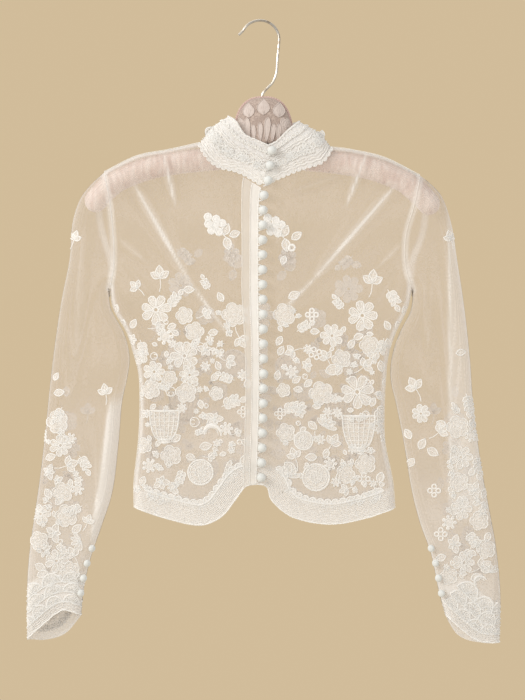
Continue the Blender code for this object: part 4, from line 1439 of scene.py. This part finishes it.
def buildPlacket(band, lace):
    ups = np.linspace(placket["bottom"], placket["top"], placket["rows"])
    grid = gridOf(placketPlace, np.linspace(0, 1, placket["columns"]), ups)
    points, normals, sine = layGrid(grid, -1, cloth["netLift"] + placket["lift"], cloth["seam"])
    across = np.linspace(0, placket["width"], placket["columns"])
    solid = np.where(across <= placket["bright"], 0.9, 0.1)
    piece = gridMesh("placket_band", points, normals, band, solid=np.tile(solid, (placket["rows"], 1)))
    work = Stitchwork()
    ups = np.linspace(0.006, 0.983, 120)
    for share, width in ((0.02, 0.8), (0.47, 0.4), (0.97, 0.3)):
        work.thread(placketPlace(np.full(120, share), ups), width, 0.7)
    for up in np.linspace(0.01, 0.98, 150):  # a short stitch across the inner edge
        work.thread(placketPlace(np.array([0.47, 0.52]), np.array([up, up + 0.002])), 0.25, 0.5)
    return piece, work.lay("placket_stitches", -1, lace, lift=placket["lift"], seam=cloth["seam"])


def shapeButton():  # a covered ball: a domed face, a gathered back and a short shank
    bpy.ops.object.select_all(action="DESELECT")
    bpy.ops.mesh.primitive_uv_sphere_add(segments=20, ring_count=12, radius=1, rotation=(math.pi / 2, 0, 0))
    ball = bpy.context.object
    bpy.ops.object.transform_apply(location=False, rotation=True, scale=False)
    bpy.ops.object.mode_set(mode="EDIT")
    bpy.ops.mesh.select_mode(type="FACE")
    for depth, inside in ((0.06, 0.10), (0.10, 0.16)):
        bpy.ops.mesh.select_all(action="DESELECT")
        bpy.ops.object.mode_set(mode="OBJECT")
        for face in ball.data.polygons:
            face.select = face.normal.y > 0.86
        bpy.ops.object.mode_set(mode="EDIT")
        bpy.ops.mesh.inset(thickness=inside, depth=0)
        bpy.ops.transform.translate(value=(0, depth, 0))
    bpy.ops.transform.resize(value=(0.8, 0.6, 0.8))
    bpy.ops.object.mode_set(mode="OBJECT")
    for vertex in ball.data.vertices:  # the cover's pleats show at its rim
        angle = math.atan2(vertex.co.z, vertex.co.x)
        pleat = math.exp(-(((vertex.co.y - 0.45) / 0.3) ** 2))
        vertex.co *= 1 - 0.025 * pleat * (1 + math.cos(10 * angle))
    bpy.ops.object.shade_smooth()
    return ball


def buildButtons(cover):
    master = shapeButton()
    for node in [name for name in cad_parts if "button" in name]:
        low, high = (Vector(corner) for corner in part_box(node))
        if "cuff" not in node:
            low.y -= buttons["forward"] * mm  # so that the band's edge doesn't hide their sides
        middle, side = (low + high) / 2, (high - low) / 2
        piece = bpy.data.objects.new(f"covered_{node}", master.data.copy())
        facing, radius, height = Vector((0, -1, 0)), side.x, side.y
        if "cuff" in node:
            flat = np.array([[middle.x, middle.z]]) / mm
            facing = Vector(onForm(flat, -1)[1][0])
            radius, height = max(side.x, side.z), buttons["cuffHeight"] * mm
        turn = Vector((0, -1, 0)).rotation_difference(facing).to_matrix().to_4x4()
        size = Matrix.Diagonal((radius, height, radius, 1))
        piece.data.transform(Matrix.Translation(middle) @ turn @ size)
        piece.data.materials.append(cover)
        bpy.context.scene.collection.objects.link(piece)
        carry(piece, "button", node)
    bpy.data.objects.remove(master)


def buildLoops(lace):  # one loop of cord from the placket's edge round each button
    work = Stitchwork()
    edge = np.vstack([midLines["centreFront"][::-1], midLines["collarFront"]])
    for node in [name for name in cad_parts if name.startswith("button")]:
        low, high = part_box(node)
        z = (low[2] + high[2]) / 2 / mm
        x = np.interp(z, edge[:, 1], edge[:, 0])
        arc = circle(13, buttons["loop"], 96, 264) * (1.0, 0.82) + (x + buttons["fromEdge"], z)
        ends = [(x - 0.6, z + 6.6)], [(x - 0.6, z - 6.6)]
        work.thread(np.vstack([ends[0], arc, ends[1]]), buttons["loopWidth"], 1.5)
    return work.lay("button_loops", -1, lace, lift=0.7, seam=cloth["seam"])


pad = {
    "path": [
        (-205, -226), (-193, -210), (-182, -199), (-165, -187.5), (-124, -173.5), (-60, -165),
        (4, -162.5), (70, -166.5), (128, -175), (168, -189), (184, -200), (197, -212), (211, -229),
    ],
    "halfHeight": 14.2,
    "halfDepth": 13.4,
    "rings": 260,
    "around": 36,
    "gather": 0.035,  # how deep the gathers are, as a share of the radius
}


def ringMesh(name, rings, ends, material):  # a closed skin through rings of points
    rings = np.asarray(rings)
    count = rings.shape[1]
    points = np.vstack([rings.reshape(-1, 3), ends])
    last = len(points) - 2
    j = np.arange(count)
    after = (j + 1) % count
    start = (len(rings) - 1) * count
    foot = np.column_stack([np.full(count, last), after, j])
    head = np.column_stack([np.full(count, last + 1), start + j, start + after])
    normals = points - np.vstack([np.repeat(rings.mean(1), count, axis=0), ends])
    return makeMesh(name, points, [gridFaces(len(rings), count, ring=True), foot, head], normals, material)


def buildPad(satin):
    path = smoothLine(pad["path"], 120)
    length = lineLength(path)
    endShare = pad["halfHeight"] / length
    shares = endShare + (1 - 2 * endShare) * np.linspace(0, 1, pad["rings"])
    near = endShare * (1 - np.cos(np.radians(np.linspace(12, 80, 7))))
    shares = np.concatenate([near, shares, 1 - near[::-1]])
    turns = np.linspace(0, 2 * math.pi, pad["around"], endpoint=False)
    rings = []
    for share in shares:
        fromEnd = min(share, 1 - share) / endShare
        size = math.sqrt(max(0.0, 1 - max(0.0, 1 - fromEnd) ** 2))
        middle, ahead, back = along(path)(np.array([share, share + 0.004, share - 0.004]))
        way = (ahead - back) / np.linalg.norm(ahead - back)
        run = share * length
        gather = np.sin(run * 0.95 + 1.3 * np.sin(turns * 2 + run * 0.02))
        gather *= 0.55 + 0.45 * np.sin(turns * 3 + run * 0.11)
        reach = size * (1 + pad["gather"] * (gather - 1))
        up, out = pad["halfHeight"] * reach * np.cos(turns), pad["halfDepth"] * reach * np.sin(turns)
        rings.append(np.column_stack([middle[0] - way[1] * up, out, middle[1] + way[0] * up]))
    ends = np.array([(path[k][0], 0, path[k][1]) for k in (0, -1)])
    return ringMesh("padded_arms", rings, ends, satin)


dome = {
    "x": 4.0, "base": -146.5, "top": -91.0, "halfWidth": 35.0, "halfDepth": 12.0, "squareness": 2.6,
    "petals": [  # foot x and z, length, lean
        (-17, -116, 18, 4), (0, -113, 20, 0), (18, -116, 19, -4), (-26, -131, 15, 8), (27, -131, 15, -8),
    ],
    "strings": 8,
    "bindingRadius": 1.5,
}


def domeSize(z):
    share = np.clip((z - dome["base"]) / (dome["top"] - dome["base"]), 0, 1)
    return (1 - share ** dome["squareness"]) ** (1 / dome["squareness"])


def onDome(places, face, lift):
    size = np.maximum(domeSize(places[:, 1]), 0.05)
    across = np.clip((places[:, 0] - dome["x"]) / (dome["halfWidth"] * size), -0.98, 0.98)
    bulge = dome["halfDepth"] * size * np.sqrt(1 - across**2)
    normals = np.column_stack([across * 0.5, face * np.sqrt(1 - 0.25 * across**2), 0.25 * (1 - size)])
    normals /= np.linalg.norm(normals, axis=1)[:, None]
    return np.column_stack([places[:, 0], face * bulge, places[:, 1]]), normals, size


def buildDome(satin, petalCloth, binding):
    turns = np.linspace(0, 2 * math.pi, 72, endpoint=False)
    rings = []
    for share in np.sin(np.linspace(0, 0.497, 26) * math.pi):
        z = dome["base"] + (dome["top"] - dome["base"]) * share
        size = domeSize(z) * 0.985
        ripple = 1 + 0.012 * np.sin(turns * 18 + share * 9)
        rings.append(np.column_stack([
            dome["x"] + dome["halfWidth"] * size * ripple * np.cos(turns),
            dome["halfDepth"] * size * ripple * np.sin(turns), np.full(72, z),
        ]))
    ends = np.array([(dome["x"], 0, dome["base"]), (dome["x"], 0, dome["top"])])
    body = ringMesh("neck_dome", rings, ends, satin)
    petals = []
    for face in (-1, 1):
        work = Stitchwork()
        for x, z, size, lean in dome["petals"]:
            seat = (dome["x"] + x, z, size, 90 + lean)
            outline = put(leafShape(0.36, 0.75, 9), *seat)
            work.ground(outline, 1.0, 0.7)
            work.thread(outline, 0.45, 0.8, closed=True)
            for side in (-0.14, 0, 0.14):
                work.thread(put([(0.05, 0), (0.45, side), (0.85, 0)], *seat), 0.28, 1.0)
        for k in range(dome["strings"]):
            x = dome["x"] - 25 + 50 * k / (dome["strings"] - 1)
            loop = put(petalShape(0.17, 12), x, -145, 24 + 5 * math.sin(2 * k), 90 + 5 * math.sin(k))
            work.ground(loop, 1.0, 0.3)
            work.thread(loop, 0.5, 0.8, closed=True)
        name = "front" if face < 0 else "back"
        petals.append(work.lay(f"dome_petals_{name}", face, petalCloth, lift=0.5, form=onDome))
    z = dome["base"] + (dome["top"] - dome["base"]) * np.sin(np.linspace(0, 0.5, 30) * math.pi)
    half = dome["halfWidth"] * domeSize(z)
    edge = np.vstack([np.column_stack([dome["x"] - half, z]), np.column_stack([dome["x"] + half, z])[-2::-1]])
    edge = evenly(edge, 150)
    twist = np.arange(len(edge)) * 2.1
    edge += 0.5 * np.column_stack([np.sin(twist), np.cos(twist)])
    cord = tube("dome_binding", upright(edge), dome["bindingRadius"], binding)
    return body, petals, cord


def upright(line):  # a flat line as points in the plane between front and back
    return np.column_stack([line[:, 0], np.zeros(len(line)), line[:, 1]])


def tube(name, path, radius, material):  # a round cord through points, closed at both ends
    curve = bpy.data.curves.new(name, "CURVE")
    curve.dimensions = "3D"
    curve.bevel_depth = radius * mm
    curve.bevel_resolution = 2
    curve.use_fill_caps = True
    spline = curve.splines.new("POLY")
    spline.points.add(len(path) - 1)
    spline.points.foreach_set("co", np.column_stack([np.asarray(path) * mm, np.ones(len(path))]).ravel())
    bent = bpy.data.objects.new(name, curve)
    mesh = bpy.data.meshes.new_from_object(bent)
    bpy.data.objects.remove(bent)
    mesh.materials.clear()
    return show(name, mesh, material)


def joinPieces(pieces, name):
    bpy.ops.object.select_all(action="DESELECT")
    for piece in pieces:
        piece.select_set(True)
    bpy.context.view_layer.objects.active = pieces[0]
    bpy.ops.object.join()
    pieces[0].name = name
    return pieces[0]


def buildSeams(thread):  # the felled seams that run along folded edges
    cords = []
    for edges in lines.values():
        for key in ("shoulder", "side"):
            cords.append(tube("seam", upright(edges[key]), cloth["seamRadius"], thread))
    return joinPieces(cords, "felled_seams")


buildStudio()
print("studio ready")
net = makeNet()
lace = makeLace("laceThread", 0.12, 0.55)
panels = buildNet(net)
print("net panels laid")
embroidery = buildEmbroidery(lace)
print("embroidery laid")
for node, panel in panels.items():
    carry(panel, "tulle", node)
for piece in embroidery.values():
    carry(piece, "lace")
worn = {node: [embroidery[node]] for node in panels}
for side in ("right", "left"):
    worn[f"sleeve_{side}"].append(embroidery[f"sleeveBack_{side}"])

collar, *collarThreads = buildCollar(makeLace("collarGround", 0.92, 1.0), lace)
carry(collar, "lace", "collar")
for piece in collarThreads:
    carry(piece, "lace")
panels["collar"], worn["collar"] = collar, collarThreads
print("collar made")

band, stitches = buildPlacket(makeBand(), lace)
carry(band, "band", "placket_right")
carry(stitches, "lace")
panels["placket_right"], worn["placket_right"] = band, [stitches]
buildButtons(makeButtonCover())
carry(buildLoops(lace), "band")
carry(buildSeams(lace), "tulle")
print("closure made")

arms = buildPad(makePadSatin())
carry(arms, "pad_satin", "hanger_pad")
petalCloth = makePlain("petalSatin", satinFinish["petal"], satinFinish["petalDark"], 0.003, 0.6, 0.0002)
binding = makePlain("roseBinding", satinFinish["binding"], satinFinish["bindingDark"], 0.0015, 0.6, 0.0002)
domeBody, domePetals, domeCord = buildDome(makeCoverSatin(), petalCloth, binding)
carry(domeBody, "cover_lace", "hanger_neck_cover")
for piece in (*domePetals, domeCord):
    carry(piece, "cover_lace")
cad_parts["hanger_hook"].material_slots[0].material = makeSteel()
print("hanger made")

bpy.ops.object.select_all(action="DESELECT")
bpy.ops.mesh.primitive_plane_add(size=studio["floorSize"], location=(0, 0, studio["floorZ"]))
floor = bpy.context.object
floor.name = "floor"
pale = makePlain("paleFloor", studio["floorColour"], studio["floorShade"], 0.4, 0.8, 0.0005)
floor.data.materials.append(pale)
